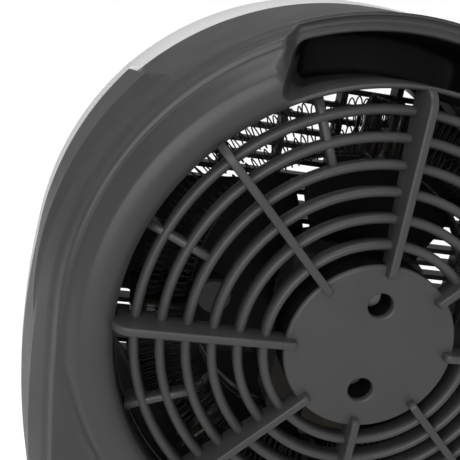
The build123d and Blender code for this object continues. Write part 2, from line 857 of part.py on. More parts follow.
# Air duct: a short tube with a rear flange and a flared mouth, notched for the handle pocket
duct_rear_depth = plateau_depth + shell_wall
with BuildPart() as air_duct:
    with BuildSketch(axis_plane()):
        with BuildLine():
            Polyline(
                (duct_flange_radius, -duct_rear_depth),
                (duct_radius, -duct_rear_depth),
                (duct_radius, -duct_straight_end),
                (duct_mouth_radius, -duct_mouth_depth),
                (duct_mouth_radius + duct_wall, -duct_mouth_depth),
                (duct_radius + duct_wall, -duct_straight_end),
                (duct_radius + duct_wall, -duct_rear_depth - duct_wall),
                (duct_flange_radius, -duct_rear_depth - duct_wall),
                (duct_flange_radius, -duct_rear_depth),
            )
        make_face()
    revolve(axis=fan_axis)
    with BuildSketch(rear_plane(pocket_depth + pocket_wall + duct_notch_gap)):
        notch_half_width = scoop_rim_half_width + pocket_wall + duct_notch_gap
        Rectangle(2 * notch_half_width, 2 * duct_flange_radius, align=(Align.CENTER, Align.MIN))
    extrude(amount=pocket_depth, mode=Mode.SUBTRACT)
air_duct.part.label = "air_duct"
export_step(air_duct.part, "parts/air_duct.step")


# Motor bracket at the hub: a stamped plate with two legs and a bearing seat
leg_centre = bracket_span / 2 - bracket_leg / 2


def bracket_plate():
    """Draw the stamped plate that both motor brackets share."""
    Circle(bracket_radius)
    Rectangle(bracket_span, bracket_arm_width)
    Circle(bearing_radius, mode=Mode.SUBTRACT)


with BuildPart() as motor_bracket:
    with BuildSketch(rear_plane(bracket_depth + bracket_thickness)):
        bracket_plate()
        with Locations((0, screw_hole_offset), (0, -screw_hole_offset)):
            Circle(screw_shank_radius, mode=Mode.SUBTRACT)
    extrude(amount=bracket_thickness)
    with BuildSketch(rear_plane(stator_depth)):
        with Locations((leg_centre, 0), (-leg_centre, 0)):
            Rectangle(bracket_leg, bracket_arm_width)
    extrude(amount=stator_gap)
    with BuildSketch(rear_plane(bracket_depth + bearing_length)):
        Circle(bearing_radius + bearing_seat_wall)
        Circle(bearing_radius, mode=Mode.SUBTRACT)
    extrude(amount=bearing_length)
motor_bracket.part.label = "motor_bracket"
export_step(motor_bracket.part, "parts/motor_bracket.step")

with BuildPart() as motor_front_bracket:
    with BuildSketch(rear_plane(front_bracket_depth + bracket_thickness)):
        bracket_plate()
    extrude(amount=bracket_thickness)
    with BuildSketch(rear_plane(front_bracket_depth)):
        with Locations((leg_centre, 0), (-leg_centre, 0)):
            Rectangle(bracket_leg, bracket_arm_width)
    extrude(amount=stator_gap)
    with BuildSketch(rear_plane(front_bracket_depth + bracket_thickness)):
        Circle(bearing_radius + bearing_seat_wall)
        Circle(bearing_radius, mode=Mode.SUBTRACT)
    extrude(amount=bearing_length)
motor_front_bracket.part.label = "motor_front_bracket"
export_step(motor_front_bracket.part, "parts/motor_front_bracket.step")

with BuildPart() as motor_bearings:
    rear_bearing_end = bracket_depth + bearing_length
    front_bearing_end = front_bracket_depth + bracket_thickness
    for end_depth in (rear_bearing_end, front_bearing_end):
        with BuildSketch(rear_plane(end_depth)):
            Circle(bearing_radius)
            Circle(shaft_radius + shaft_running_gap, mode=Mode.SUBTRACT)
        extrude(amount=bearing_length)
motor_bearings.part.label = "motor_bearings"
export_step(motor_bearings.part, "parts/motor_bearings.step")


# Shaded-pole stator: a block of laminations with the rotor's bore and the winding's limb below
coil_length = stator_length + 2 * coil_build
with BuildPart() as motor_stator:
    with BuildSketch(rear_plane(stator_depth + stator_length)):
        with BuildLine():
            Polyline(
                (-stator_half_width, stator_bottom),
                (stator_half_width, stator_bottom),
                (stator_half_width, stator_top),
                (-stator_half_width, stator_top),
                (-stator_half_width, stator_bottom),
            )
        make_face()
        chamfer(vertices(), stator_chamfer)
        window_floor = stator_bottom + stator_limb
        window_top = -rotor_radius - air_gap - pole_web
        with Locations((0, window_floor)):
            Rectangle(
                2 * (coil_half_width + coil_bobbin_gap),
                window_top - window_floor,
                align=(Align.CENTER, Align.MIN),
                mode=Mode.SUBTRACT,
            )
        Circle(rotor_radius + air_gap, mode=Mode.SUBTRACT)
    extrude(amount=stator_length)
motor_stator.part.label = "motor_stator"
export_step(motor_stator.part, "parts/motor_stator.step")

with BuildPart() as motor_coil:
    with BuildSketch(rear_plane(stator_depth + stator_length + coil_build)):
        with Locations((0, stator_bottom + stator_limb / 2)):
            Rectangle(2 * coil_half_width, stator_limb + 2 * coil_build)
        chamfer(vertices(), coil_chamfer)
    extrude(amount=coil_length)
    with BuildSketch(rear_plane(stator_depth + stator_length + coil_bobbin_gap)):
        with Locations((0, stator_bottom + stator_limb / 2)):
            Rectangle(4 * coil_half_width, stator_limb + 2 * coil_bobbin_gap)
    extrude(amount=stator_length + 2 * coil_bobbin_gap, mode=Mode.SUBTRACT)
motor_coil.part.label = "motor_coil"
export_step(motor_coil.part, "parts/motor_coil.step")


# Rotor, shaft, fan and the nut that holds the fan
with BuildPart() as motor_rotor:
    with BuildSketch(rear_plane(stator_depth + stator_length + rotor_overhang)):
        Circle(rotor_radius)
        Circle(shaft_radius, mode=Mode.SUBTRACT)
    extrude(amount=stator_length + 2 * rotor_overhang)
    chamfer(edges().filter_by(GeomType.CIRCLE).group_by(SortBy.RADIUS)[-1], rotor_overhang)
motor_rotor.part.label = "motor_rotor"
export_step(motor_rotor.part, "parts/motor_rotor.step")

shaft_front_depth = fan_depth + fan_hub_length + nut_height
with BuildPart() as motor_shaft:
    with BuildSketch(rear_plane(shaft_front_depth)):
        Circle(shaft_radius)
    extrude(amount=shaft_front_depth - bracket_depth + shaft_tail)
    chamfer(edges().filter_by(GeomType.CIRCLE), shaft_radius / 5)
motor_shaft.part.label = "motor_shaft"
export_step(motor_shaft.part, "parts/motor_shaft.step")

with BuildPart() as impeller:
    with BuildSketch(rear_plane(fan_depth + fan_hub_length)):
        Circle(fan_hub_radius)
    extrude(amount=fan_hub_length)
    fillet(edges().filter_by(GeomType.CIRCLE).group_by(Axis.Y)[0], fan_hub_round)
    blade_middle_depth = fan_depth + fan_hub_length / 2
    for index in range(blade_count):
        turn = index * 360 / blade_count
        blade_sections = (
            (fan_hub_radius - blade_root_sink, blade_root_chord, blade_root_pitch),
            (fan_tip_radius, blade_tip_chord, blade_tip_pitch),
        )
        for radius, chord, pitch in blade_sections:
            outward = (-cos(radians(turn)), 0, sin(radians(turn)))
            across = (-sin(radians(turn)), 0, -cos(radians(turn)))
            lean = radians(pitch)
            blade_plane = Plane(
                origin=(
                    outward[0] * radius,
                    ring_plane_y - blade_middle_depth,
                    hub_height + outward[2] * radius,
                ),
                x_dir=(across[0] * cos(lean), sin(lean), across[2] * cos(lean)),
                z_dir=outward,
            )
            with BuildSketch(blade_plane):
                SlotOverall(chord, blade_thickness)
        loft()
    with BuildSketch(rear_plane(fan_depth + fan_hub_length - blade_thickness)):
        Circle(fan_hub_radius - blade_thickness)
        Circle(shaft_radius + fan_boss_wall, mode=Mode.SUBTRACT)
    extrude(amount=fan_hub_length, mode=Mode.SUBTRACT)
    with BuildSketch(rear_plane(fan_depth + fan_hub_length)):
        Circle(shaft_radius)
    extrude(amount=fan_hub_length, mode=Mode.SUBTRACT)
impeller.part.label = "impeller"
export_step(impeller.part, "parts/impeller.step")

with BuildPart() as impeller_nut:
    with BuildSketch(rear_plane(shaft_front_depth)):
        RegularPolygon(nut_radius, 6)
        Circle(shaft_radius, mode=Mode.SUBTRACT)
    extrude(amount=nut_height)
impeller_nut.part.label = "impeller_nut"
export_step(impeller_nut.part, "parts/impeller_nut.step")


# Heating elements: bare wire wound in loops round a ring, each one unbroken tube
def element_point(ring_radius, loops, turn):
    """Centre of the wire after this many loops, and the way that it runs there."""
    lead_angle = degrees(asin((mica_thickness / 2 + lug_thickness + 4 * lead_length) / ring_radius))
    sweep_angle = 360 - 2 * lead_angle
    points = []
    for step in (turn - tangent_step, turn, turn + tangent_step):
        around = radians(lead_angle - 90 + sweep_angle * step / loops)
        radius = ring_radius + loop_radius * cos(2 * radians(180) * step)
        depth = element_depth + loop_radius * sin(2 * radians(180) * step)
        points.append(
            Vector(-radius * cos(around), ring_plane_y - depth, hub_height + radius * sin(around))
        )
    return points[1], (points[2] - points[0]).normalized()


def biarc(start, start_way, end, end_way):
    """Two tangent arcs from start to end that leave and arrive along the given directions."""
    chord = end - start
    both = start_way + end_way
    spread = 2 * (1 - start_way.dot(end_way))
    along = chord.dot(both)
    reach = (sqrt(along**2 + spread * chord.dot(chord)) - along) / spread
    middle = (start + start_way * reach + end - end_way * reach) * 0.5
    TangentArc(start, middle, tangent=start_way)
    TangentArc(end, middle, tangent=end_way * -1)


def element_path(ring_radius, loops):
    """Draw the wire's path: a straight lead, the loops in half turns and a straight lead."""
    lug_face = mica_thickness / 2 + lug_thickness
    level = (ring_plane_y - element_depth, hub_height - ring_radius)
    way = Vector(-1, 0, 0)
    first_end = Vector(-lug_face, *level)
    first_lead = Vector(-lug_face - lead_length, *level)
    last_lead = Vector(lug_face + lead_length, *level)
    last_end = Vector(lug_face, *level)
    Line(first_end, first_lead)
    places = [(first_lead, way)]
    places += [element_point(ring_radius, loops, half / 2) for half in range(2 * loops + 1)]
    places += [(last_lead, way)]
    for (start, start_way), (end, end_way) in zip(places, places[1:]):
        biarc(start, start_way, end, end_way)
    Line(last_lead, last_end)


def least_gap(ring_radius, loops):
    """Least clear distance between two stretches of the wire that are half a loop apart."""
    steps = 16
    points = [element_point(ring_radius, loops, index / steps)[0] for index in range(loops * steps + 1)]
    gaps = []
    for index, point in enumerate(points):
        later = points[index + steps // 2 : index + 2 * steps]
        gaps += [(other - point).length for other in later]
    return min(gaps) - 2 * wire_radius


with BuildPart() as heating_coil_outer:
    with BuildLine() as outer_wire:
        element_path(outer_element_radius, outer_element_loops)
    with BuildSketch(Plane(outer_wire.wire() @ 0, z_dir=outer_wire.wire() % 0)):
        Circle(wire_radius)
    sweep(path=outer_wire.wire())
heating_coil_outer.part.label = "heating_coil_outer"
export_step(heating_coil_outer.part, "parts/heating_coil_outer.step")

with BuildPart() as heating_coil_inner:
    with BuildLine() as inner_wire:
        element_path(inner_element_radius, inner_element_loops)
    with BuildSketch(Plane(inner_wire.wire() @ 0, z_dir=inner_wire.wire() % 0)):
        Circle(wire_radius)
    sweep(path=inner_wire.wire())
heating_coil_inner.part.label = "heating_coil_inner"
export_step(heating_coil_inner.part, "parts/heating_coil_inner.step")

outer_gap = least_gap(outer_element_radius, outer_element_loops)
inner_gap = least_gap(inner_element_radius, inner_element_loops)
print(f"least gap in the elements: {outer_gap:.2f} and {inner_gap:.2f} mm")


# Mica frame: radial plates on an inner ring, with holes that the elements pass through
plate_length = mica_front_depth - mica_rear_depth
mica_hole_radius = loop_radius + wire_radius + mica_hole_gap
element_radii = (inner_element_radius, outer_element_radius)
with BuildPart() as heater_frame:
    for index in range(mica_plates):
        angle = index * 360 / mica_plates - 90
        under_pocket = abs(angle - 90) < hook_gap_angle
        plate_end = fin_reach if under_pocket else duct_radius
        with BuildSketch(axis_plane(angle)):
            with Locations((mica_inner_radius, -mica_rear_depth)):
                Rectangle(plate_end - mica_inner_radius, plate_length, align=(Align.MIN, Align.MAX))
            if index > 0:
                with Locations(*[(radius, -element_depth) for radius in element_radii]):
                    Circle(mica_hole_radius, mode=Mode.SUBTRACT)
        extrude(amount=mica_thickness / 2, both=True)
    with BuildSketch(rear_plane(mica_front_depth)):
        Circle(mica_inner_radius + mica_thickness)
        Circle(mica_inner_radius, mode=Mode.SUBTRACT)
    extrude(amount=plate_length)
heater_frame.part.label = "heater_frame"
export_step(heater_frame.part, "parts/heater_frame.step")

lug_offset = mica_thickness / 2 + lug_thickness / 2
with BuildPart() as element_terminals:
    with BuildSketch(rear_plane(element_depth + lug_size / 2)):
        with Locations(
            *both_sides(lug_offset, -outer_element_radius),
            *both_sides(lug_offset, -inner_element_radius),
        ):
            Rectangle(lug_thickness, lug_size)
    extrude(amount=lug_size)
element_terminals.part.label = "element_terminals"
export_step(element_terminals.part, "parts/element_terminals.step")

cutout_centre = mica_inner_radius - cutout_radius
with BuildPart() as thermal_cutout:
    with BuildSketch(rear_plane(element_depth + cutout_length)):
        with Locations((-cutout_centre, 0)):
            Circle(cutout_radius)
    extrude(amount=cutout_length)
    chamfer(edges().filter_by(GeomType.CIRCLE), cutout_chamfer)
    with BuildSketch(rear_plane(element_depth + cutout_length + cutout_radius)):
        with Locations(*[(-cutout_centre, side) for side in (-cutout_radius / 2, cutout_radius / 2)]):
            Rectangle(mica_thickness, cutout_radius / 2)
    extrude(amount=cutout_radius)
thermal_cutout.part.label = "thermal_cutout"
export_step(thermal_cutout.part, "parts/thermal_cutout.step")

fuse_middle = (outer_element_radius + inner_element_radius) / 2
fuse_depth = mica_front_depth - 3 * fuse_radius
fuse_offset = mica_thickness / 2 + fuse_radius
with BuildPart() as thermal_fuse:
    fuse_start = hub_height + fuse_middle - fuse_length / 2
    with BuildSketch(Plane.XY.offset(fuse_start)):
        with Locations((fuse_offset, ring_plane_y - fuse_depth)):
            Circle(fuse_radius)
    extrude(amount=fuse_length)
    chamfer(edges().filter_by(GeomType.CIRCLE), fuse_radius / 4)
thermal_fuse.part.label = "thermal_fuse"
export_step(thermal_fuse.part, "parts/thermal_fuse.step")


# Control panel: a plate with a flange behind the front shell, two dials' rings and the lamp's hole
panel_middle = panel_top - panel_height / 2
lamp_height = panel_middle + lamp_rise
knob_places = both_sides(knob_offset, panel_middle)
with BuildPart() as control_panel:
    with BuildSketch(rear_plane(front_depth + panel_stand)):
        with Locations((0, panel_middle)):
            RectangleRounded(
                2 * (panel_half_width - fit_gap),
                panel_height - 2 * fit_gap,
                panel_corner_radius - fit_gap,
            )
    extrude(amount=panel_stand + shell_wall)
    chamfer(faces().sort_by(Axis.Y)[0].edges(), panel_stand / 2)
    with BuildSketch(rear_plane(seat_depth)):
        with Locations((0, panel_middle)):
            RectangleRounded(
                2 * (panel_half_width + flange_overlap),
                panel_height + 2 * flange_overlap,
                panel_corner_radius,
            )
    extrude(amount=shell_wall)
    with BuildSketch(rear_plane(front_depth + panel_stand + knob_gap / 2)):
        with Locations(*knob_places):
            Circle(knob_radius + 2 * knob_gap)
            Circle(knob_radius - knob_gap, mode=Mode.SUBTRACT)
    extrude(amount=knob_gap)
    with BuildSketch(rear_plane(front_depth + 2 * panel_stand)):
        with Locations(*knob_places):
            Circle(knob_stem_radius + fit_gap)
        with Locations((0, lamp_height)):
            Circle(lamp_radius + fit_gap / 2)
    extrude(amount=front_depth - seam_depth, mode=Mode.SUBTRACT)
control_panel.part.label = "control_panel"
export_step(control_panel.part, "parts/control_panel.step")


# The two knobs, each with its stem, and the switches that they turn
panel_back_depth = seat_depth - shell_wall
knob_back_depth = front_depth + panel_stand + knob_gap
stem_end_depth = panel_back_depth - switch_length + 2 * shell_wall


def knob_body_outline():
    """Draw half of a knob's section: grip, skirt and stem, around the knob's own axis."""
    crown_reach = knob_radius - knob_skirt_step - 2 * knob_crown_round
    Polyline(
        (0, -stem_end_depth),
        (knob_stem_radius, -stem_end_depth),
        (knob_stem_radius, -knob_back_depth),
        (knob_radius, -knob_back_depth),
        (knob_radius, -knob_back_depth - knob_height / 4),
        (knob_radius - knob_skirt_step, -knob_back_depth - knob_height / 3),
        (crown_reach + knob_crown_round, -knob_back_depth - knob_height + knob_crown_round),
        (crown_reach, -knob_back_depth - knob_height),
        (0, -knob_back_depth - knob_height),
        (0, -stem_end_depth),
    )


def knob_plane(place):
    """Plane through a knob's axis: x away from the axis, y to the rear."""
    return Plane(
        origin=(-place[0], ring_plane_y, hub_height + place[1]),
        x_dir=(1, 0, 0),
        z_dir=(0, 0, 1),
    )


def knob_axis(place):
    """The axis that a knob turns about."""
    return Axis((-place[0], ring_plane_y, hub_height + place[1]), (0, 1, 0))


mode_place, thermostat_place = knob_places
for knob_name, place in (("thermostat_knob", thermostat_place), ("mode_knob", mode_place)):
    with BuildPart() as knob:
        with BuildSketch(knob_plane(place)):
            with BuildLine():
                knob_body_outline()
            make_face()
        revolve(axis=knob_axis(place))
        with BuildSketch(rear_plane(knob_back_depth + knob_height)):
            with Locations(place):
                with PolarLocations(knob_radius - knob_crown_round, knob_flutes, 180 / knob_flutes):
                    Circle(knob_flute_radius)
        extrude(amount=knob_height * 2 / 3, mode=Mode.SUBTRACT)
        with BuildSketch(rear_plane(knob_back_depth + knob_height)):
            with Locations((place[0], place[1] + knob_radius / 4)):
                Rectangle(knob_mark_width, knob_radius, align=(Align.CENTER, Align.MIN))
        extrude(amount=knob_mark_depth, mode=Mode.SUBTRACT)
    knob.part.label = knob_name
    export_step(knob.part, f"parts/{knob_name}.step")

with BuildPart() as thermostat:
    with BuildSketch(rear_plane(panel_back_depth)):
        with Locations(thermostat_place):
            RectangleRounded(switch_size, switch_size, switch_corner_radius)
            Circle(knob_stem_radius + stem_running_gap, mode=Mode.SUBTRACT)
    extrude(amount=switch_length)
    with BuildSketch(rear_plane(panel_back_depth - switch_length)):
        with Locations(thermostat_place):
            with GridLocations(switch_size / 2, switch_size / 2, 2, 2):
                Rectangle(tag_thickness, tag_width)
    extrude(amount=tag_length)
thermostat.part.label = "thermostat"
export_step(thermostat.part, "parts/thermostat.step")

with BuildPart() as mode_switch:
    with BuildSketch(rear_plane(panel_back_depth)):
        with Locations(mode_place):
            Circle(switch_size / 2)
            Circle(knob_stem_radius + stem_running_gap, mode=Mode.SUBTRACT)
    extrude(amount=switch_length)
    with BuildSketch(rear_plane(panel_back_depth - switch_length)):
        with Locations(mode_place):
            with PolarLocations(switch_size / 3, 6):
                Rectangle(tag_thickness, tag_width)
    extrude(amount=tag_length)
mode_switch.part.label = "mode_switch"
export_step(mode_switch.part, "parts/mode_switch.step")

with BuildPart() as lamp_lens:
    with BuildSketch(knob_plane((0, lamp_height))):
        with BuildLine():
            lens_depth = front_depth + panel_stand
            Polyline(
                (lamp_radius, -lens_depth),
                (lamp_radius, -panel_back_depth),
                (0, -panel_back_depth),
                (0, -lens_depth - lamp_dome),
            )
            dome_sphere = (lamp_radius**2 + lamp_dome**2) / (2 * lamp_dome)
            middle_drop = dome_sphere - sqrt(dome_sphere**2 - (lamp_radius / 2) ** 2)
            ThreePointArc(
                (0, -lens_depth - lamp_dome),
                (lamp_radius / 2, -lens_depth - lamp_dome + middle_drop),
                (lamp_radius, -lens_depth),
            )
        make_face()
    revolve(axis=knob_axis((0, lamp_height)))
lamp_lens.part.label = "lamp_lens"
export_step(lamp_lens.part, "parts/lamp_lens.step")

with BuildPart() as pilot_lamp:
    with BuildSketch(rear_plane(panel_back_depth)):
        with Locations((0, lamp_height)):
            Circle(lamp_radius + lamp_body_wall)
    extrude(amount=switch_length)
    with BuildSketch(rear_plane(panel_back_depth - switch_length)):
        with Locations((0, lamp_height)):
            with GridLocations(1, lamp_radius, 1, 2):
                Rectangle(lamp_tag_width, tag_thickness)
    extrude(amount=tag_length)
pilot_lamp.part.label = "pilot_lamp"
export_step(pilot_lamp.part, "parts/pilot_lamp.step")


# Base tray, which closes the two shells from below
tray_bottom = foot_height
foot_places = (
    *both_sides(foot_spread, -foot_rear_depth),
    *both_sides(foot_spread, -foot_front_depth),
)
base_screw_places = (
    *both_sides(base_screw_rear[0], -base_screw_rear[1]),
    *both_sides(base_screw_front[0], -base_screw_front[1]),
)
gland_end_depth = plateau_depth + shell_wall
with BuildPart() as base_tray:
    with BuildSketch(base_plane(tray_bottom + tray_edge)) as footprint:
        with BuildLine():
            footprint_half()
            mirror(about=Plane.YZ)
        make_face()
    extrude(amount=base_split_height - tray_bottom - tray_edge)
    extrude(footprint.sketch, amount=-tray_edge, taper=tray_slope)
    with BuildSketch(base_plane(tray_bottom + tray_floor)):
        with BuildLine():
            footprint_half()
            mirror(about=Plane.YZ)
        make_face()
        offset(amount=-shell_wall, kind=Kind.INTERSECTION)
    extrude(amount=base_split_height, mode=Mode.SUBTRACT)
    with BuildSketch(base_plane(tray_bottom)):
        with Locations(*base_screw_places):
            Circle(screw_boss_radius)
    extrude(amount=base_split_height - tray_bottom)
    with BuildSketch(base_plane(tray_bottom)):
        with Locations((0, -plunger_depth)):
            Circle(plunger_radius + plunger_gap + shell_wall)
    extrude(amount=tray_floor + plunger_guide)
    with BuildSketch(base_plane(tray_bottom)):
        with Locations(*base_screw_places):
            Circle(screw_head_radius + fit_gap)
    extrude(amount=base_screw_seat, mode=Mode.SUBTRACT)
    with BuildSketch(base_plane(tray_bottom)):
        with Locations(*base_screw_places):
            Circle(screw_radius + screw_pass_gap)
        with Locations((0, -plunger_depth)):
            Circle(plunger_radius + plunger_gap)
    extrude(amount=base_split_height, mode=Mode.SUBTRACT)
    with BuildSketch(base_plane(tray_bottom)):
        with Locations(*foot_places):
            Circle(foot_radius + fit_gap / 3)
    extrude(amount=foot_recess, mode=Mode.SUBTRACT)
base_tray.part.label = "base_tray"
export_step(base_tray.part, "parts/base_tray.step")

with BuildPart() as rubber_feet:
    with BuildSketch(base_plane(0)):
        with Locations(*foot_places):
            Circle(foot_radius)
    extrude(amount=foot_height + foot_recess)
    chamfer(edges().filter_by(GeomType.CIRCLE).group_by(Axis.Z)[0], foot_chamfer)
rubber_feet.part.label = "rubber_feet"
export_step(rubber_feet.part, "parts/rubber_feet.step")


# Tip-over switch: a plunger that the table pushes in, its spring and the switch's case
guide_top = tray_bottom + tray_floor + plunger_guide
collar_bottom = guide_top + plunger_travel + plunger_lift
collar_radius = plunger_radius + collar_step
case_bore_top = guide_top + 4 * plunger_travel + collar_height
case_top = case_bore_top + switch_head
spring_bottom = collar_bottom + collar_height
spring_radius = (collar_radius + pin_radius) / 2
with BuildPart() as tip_plunger:
    with BuildSketch(base_plane(plunger_lift)):
        with Locations((0, -plunger_depth)):
            Circle(plunger_radius)
    extrude(amount=collar_bottom - plunger_lift)
    chamfer(edges().filter_by(GeomType.CIRCLE).group_by(Axis.Z)[0], plunger_radius / 4)
    with BuildSketch(base_plane(collar_bottom)):
        with Locations((0, -plunger_depth)):
            Circle(collar_radius)
    extrude(amount=collar_height)
    with BuildSketch(base_plane(spring_bottom)):
        with Locations((0, -plunger_depth)):
            Circle(pin_radius)
    extrude(amount=case_bore_top - spring_bottom - pin_end_gap)
tip_plunger.part.label = "tip_plunger"
export_step(tip_plunger.part, "parts/tip_plunger.step")

with BuildPart() as tip_switch:
    with BuildSketch(base_plane(guide_top)):
        with Locations((0, -plunger_depth)):
            RectangleRounded(tip_switch_length, tip_switch_width, switch_corner_radius)
    extrude(amount=case_top - guide_top)
    with BuildSketch(base_plane(guide_top)):
        with Locations((0, -plunger_depth)):
            Circle(collar_radius + plunger_gap)
    extrude(amount=case_bore_top - guide_top, mode=Mode.SUBTRACT)
tip_switch.part.label = "tip_switch"
export_step(tip_switch.part, "parts/tip_switch.step")


def spring_point(turn):
    """Centre of the spring's wire after this many turns, and the way that it runs there."""
    rise = case_bore_top - spring_bottom - 2 * tip_spring_wire
    points = []
    for step in (turn - tangent_step, turn, turn + tangent_step):
        around = radians(360) * step
        points.append(
            Vector(
                spring_radius * cos(around),
                ring_plane_y - plunger_depth + spring_radius * sin(around),
                spring_bottom + tip_spring_wire + rise * step / tip_spring_turns,
            )
        )
    return points[1], (points[2] - points[0]).normalized()


with BuildPart() as tip_spring:
    with BuildLine() as spring_wire:
        spring_places = [spring_point(half / 2) for half in range(2 * tip_spring_turns + 1)]
        for (start, start_way), (end, end_way) in zip(spring_places, spring_places[1:]):
            biarc(start, start_way, end, end_way)
    with BuildSketch(Plane(spring_wire.wire() @ 0, z_dir=spring_wire.wire() % 0)):
        Circle(tip_spring_wire)
    sweep(path=spring_wire.wire())
tip_spring.part.label = "tip_spring"
export_step(tip_spring.part, "parts/tip_spring.step")


# The cord's gland in the rear shell and the terminal block on the tray
with BuildPart() as cord_gland:
    with BuildSketch(rear_plane(plateau_depth)):
        with Locations(gland_place):
            Circle(gland_radius + gland_flange)
    extrude(amount=gland_flange)
    chamfer(edges().filter_by(GeomType.CIRCLE).group_by(Axis.Y)[-1], gland_flange / 3)
    with BuildSketch(rear_plane(gland_end_depth)):
        with Locations(gland_place):
            Circle(gland_radius)
    extrude(amount=shell_wall)
    with BuildSketch(rear_plane(gland_end_depth + gland_flange)):
        with Locations(gland_place):
            Circle(gland_radius + gland_flange / 2)
    extrude(amount=gland_flange)
    with BuildSketch(rear_plane(gland_end_depth + gland_flange)):
        with Locations(gland_place):
            Circle(gland_bore_radius)
    extrude(amount=gland_end_depth + 2 * gland_flange, mode=Mode.SUBTRACT)
cord_gland.part.label = "cord_gland"
export_step(cord_gland.part, "parts/cord_gland.step")

with BuildPart() as terminal_block:
    with BuildSketch(base_plane(tray_bottom + tray_floor)):
        with Locations((terminal_place[0], -terminal_place[1])):
            Rectangle(terminal_size[0], terminal_size[1])
    extrude(amount=terminal_size[2])
    with BuildSketch(base_plane(tray_bottom + tray_floor + terminal_size[2])):
        with Locations((terminal_place[0], -terminal_place[1])):
            with GridLocations(terminal_size[0] / 3, terminal_size[1] / 2, 3, 2):
                Circle(terminal_bore_radius)
    extrude(amount=-terminal_size[2] / 3, mode=Mode.SUBTRACT)
terminal_block.part.label = "terminal_block"
export_step(terminal_block.part, "parts/terminal_block.step")


# Screws
with BuildPart() as shell_screws:
    with BuildSketch(rear_plane(shell_screw_seat_depth)):
        with Locations(*both_sides(*shell_screw_place)):
            Circle(screw_head_radius)
    extrude(amount=screw_head_height)
    chamfer(edges().filter_by(GeomType.CIRCLE).group_by(Axis.Y)[-1], screw_head_height / 4)
    with BuildSketch(rear_plane(shell_screw_seat_depth)):
        with Locations(*both_sides(*shell_screw_place)):
            Circle(screw_radius)
    extrude(amount=shell_screw_seat_depth - seam_depth - screw_length + screw_head_height)
shell_screws.part.label = "shell_screws"
export_step(shell_screws.part, "parts/shell_screws.step")

with BuildPart() as base_screws:
    with BuildSketch(base_plane(tray_bottom + base_screw_seat)):
        with Locations(*base_screw_places):
            Circle(screw_head_radius)
    extrude(amount=-screw_head_height)
    chamfer(edges().filter_by(GeomType.CIRCLE).group_by(Axis.Z)[0], screw_head_height / 4)
    with BuildSketch(base_plane(tray_bottom + base_screw_seat)):
        with Locations(*base_screw_places):
            Circle(screw_radius)
    extrude(amount=base_split_height - tray_bottom - base_screw_seat + block_height - 2 * shell_wall)
base_screws.part.label = "base_screws"
export_step(base_screws.part, "parts/base_screws.step")

with BuildPart() as motor_screws:
    with BuildSketch(rear_plane(hub_cup_depth - tower_floor)):
        with Locations(*[(0, side) for side in (screw_hole_offset, -screw_hole_offset)]):
            Circle(access_bore_radius - screw_clearance)
    extrude(amount=screw_head_height)
    chamfer(edges().filter_by(GeomType.CIRCLE).group_by(Axis.Y)[-1], screw_head_height / 4)
    with BuildSketch(rear_plane(hub_cup_depth - tower_floor)):
        with Locations(*[(0, side) for side in (screw_hole_offset, -screw_hole_offset)]):
            Circle(screw_shank_radius)
    extrude(amount=-tower_floor - 2 * bracket_thickness)
motor_screws.part.label = "motor_screws"
export_step(motor_screws.part, "parts/motor_screws.step")
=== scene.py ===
import math
from collections import namedtuple

import bmesh
import bpy
import numpy as np
from mathutils import Matrix, Vector
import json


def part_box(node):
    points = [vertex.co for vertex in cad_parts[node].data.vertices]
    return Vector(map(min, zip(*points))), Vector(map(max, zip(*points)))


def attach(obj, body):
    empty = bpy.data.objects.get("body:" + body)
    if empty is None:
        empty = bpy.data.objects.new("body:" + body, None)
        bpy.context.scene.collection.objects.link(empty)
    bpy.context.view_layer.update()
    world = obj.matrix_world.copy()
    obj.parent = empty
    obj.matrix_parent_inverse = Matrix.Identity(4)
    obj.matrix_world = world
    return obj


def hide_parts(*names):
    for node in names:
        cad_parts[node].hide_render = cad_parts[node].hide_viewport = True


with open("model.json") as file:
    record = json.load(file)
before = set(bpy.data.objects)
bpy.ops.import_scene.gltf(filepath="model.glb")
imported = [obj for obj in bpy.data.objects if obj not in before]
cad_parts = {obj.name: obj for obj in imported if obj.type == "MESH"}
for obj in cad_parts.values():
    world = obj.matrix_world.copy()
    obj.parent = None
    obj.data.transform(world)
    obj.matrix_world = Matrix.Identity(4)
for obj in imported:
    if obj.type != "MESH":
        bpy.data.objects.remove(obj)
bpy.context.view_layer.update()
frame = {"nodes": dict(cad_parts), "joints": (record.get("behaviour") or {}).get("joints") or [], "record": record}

MM = 0.001
FULL_TURN = 2 * math.pi

# Sizes are in mm. A place is (u, v, w): u to the right seen from behind, v up and w to the rear,
# counted from the fan axis at the level of the inlet rings. Both are read from the frame.
fan_joint = next(joint for joint in frame["joints"] if joint["name"] == "fan_spin")
hub_height = fan_joint["pos_m"][2]
fin_stand = 4.0
ring_plane_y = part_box("rear_grille")[1].y - fin_stand * MM

# Outlines of the body seen from behind, round the fan axis
Arch = namedtuple("Arch", "rise top_radius shoulder_radius half_width side_radius")
body_arch = Arch(106.5, 187.0, 108.6, 114.8, 300.0)
foot_arch = Arch(99.6, 140.0, 101.8, 104.6, 400.0)
outer_ridge_arch = Arch(99.9, 99.9, 99.9, 99.9, 700.0)
groove_arch = Arch(98.6, 97.8, 97.8, 97.8, 700.0)
inner_ridge_arch = Arch(97.6, 96.0, 96.0, 96.0, 700.0)
crown_half_angle = math.radians(3.0)
arch_drop = 175.0
base_top = 16.0

# Side wall and raised shoulder bands; depths are counted from the inlet rings to the front
widest_depth = 80.0
seam_depth = 50.0
wall_foot_depth = 20.0
wall_depths = (50, 49, 47, 44, 40, 36, 32, 29, 27, 26, 25.5, 25, 24.5, 24, 23, 22, 21, 20.4, 20)
barrel_radius = 152.0
band_line = ([20.0, 25.0, 50.0, 83.0, 104.0], [102.6, 106.2, 109.6, 110.4, 107.0])
band_top = (78.6, 72.0)
band_top_slope = 0.153
band_ramp = 0.9

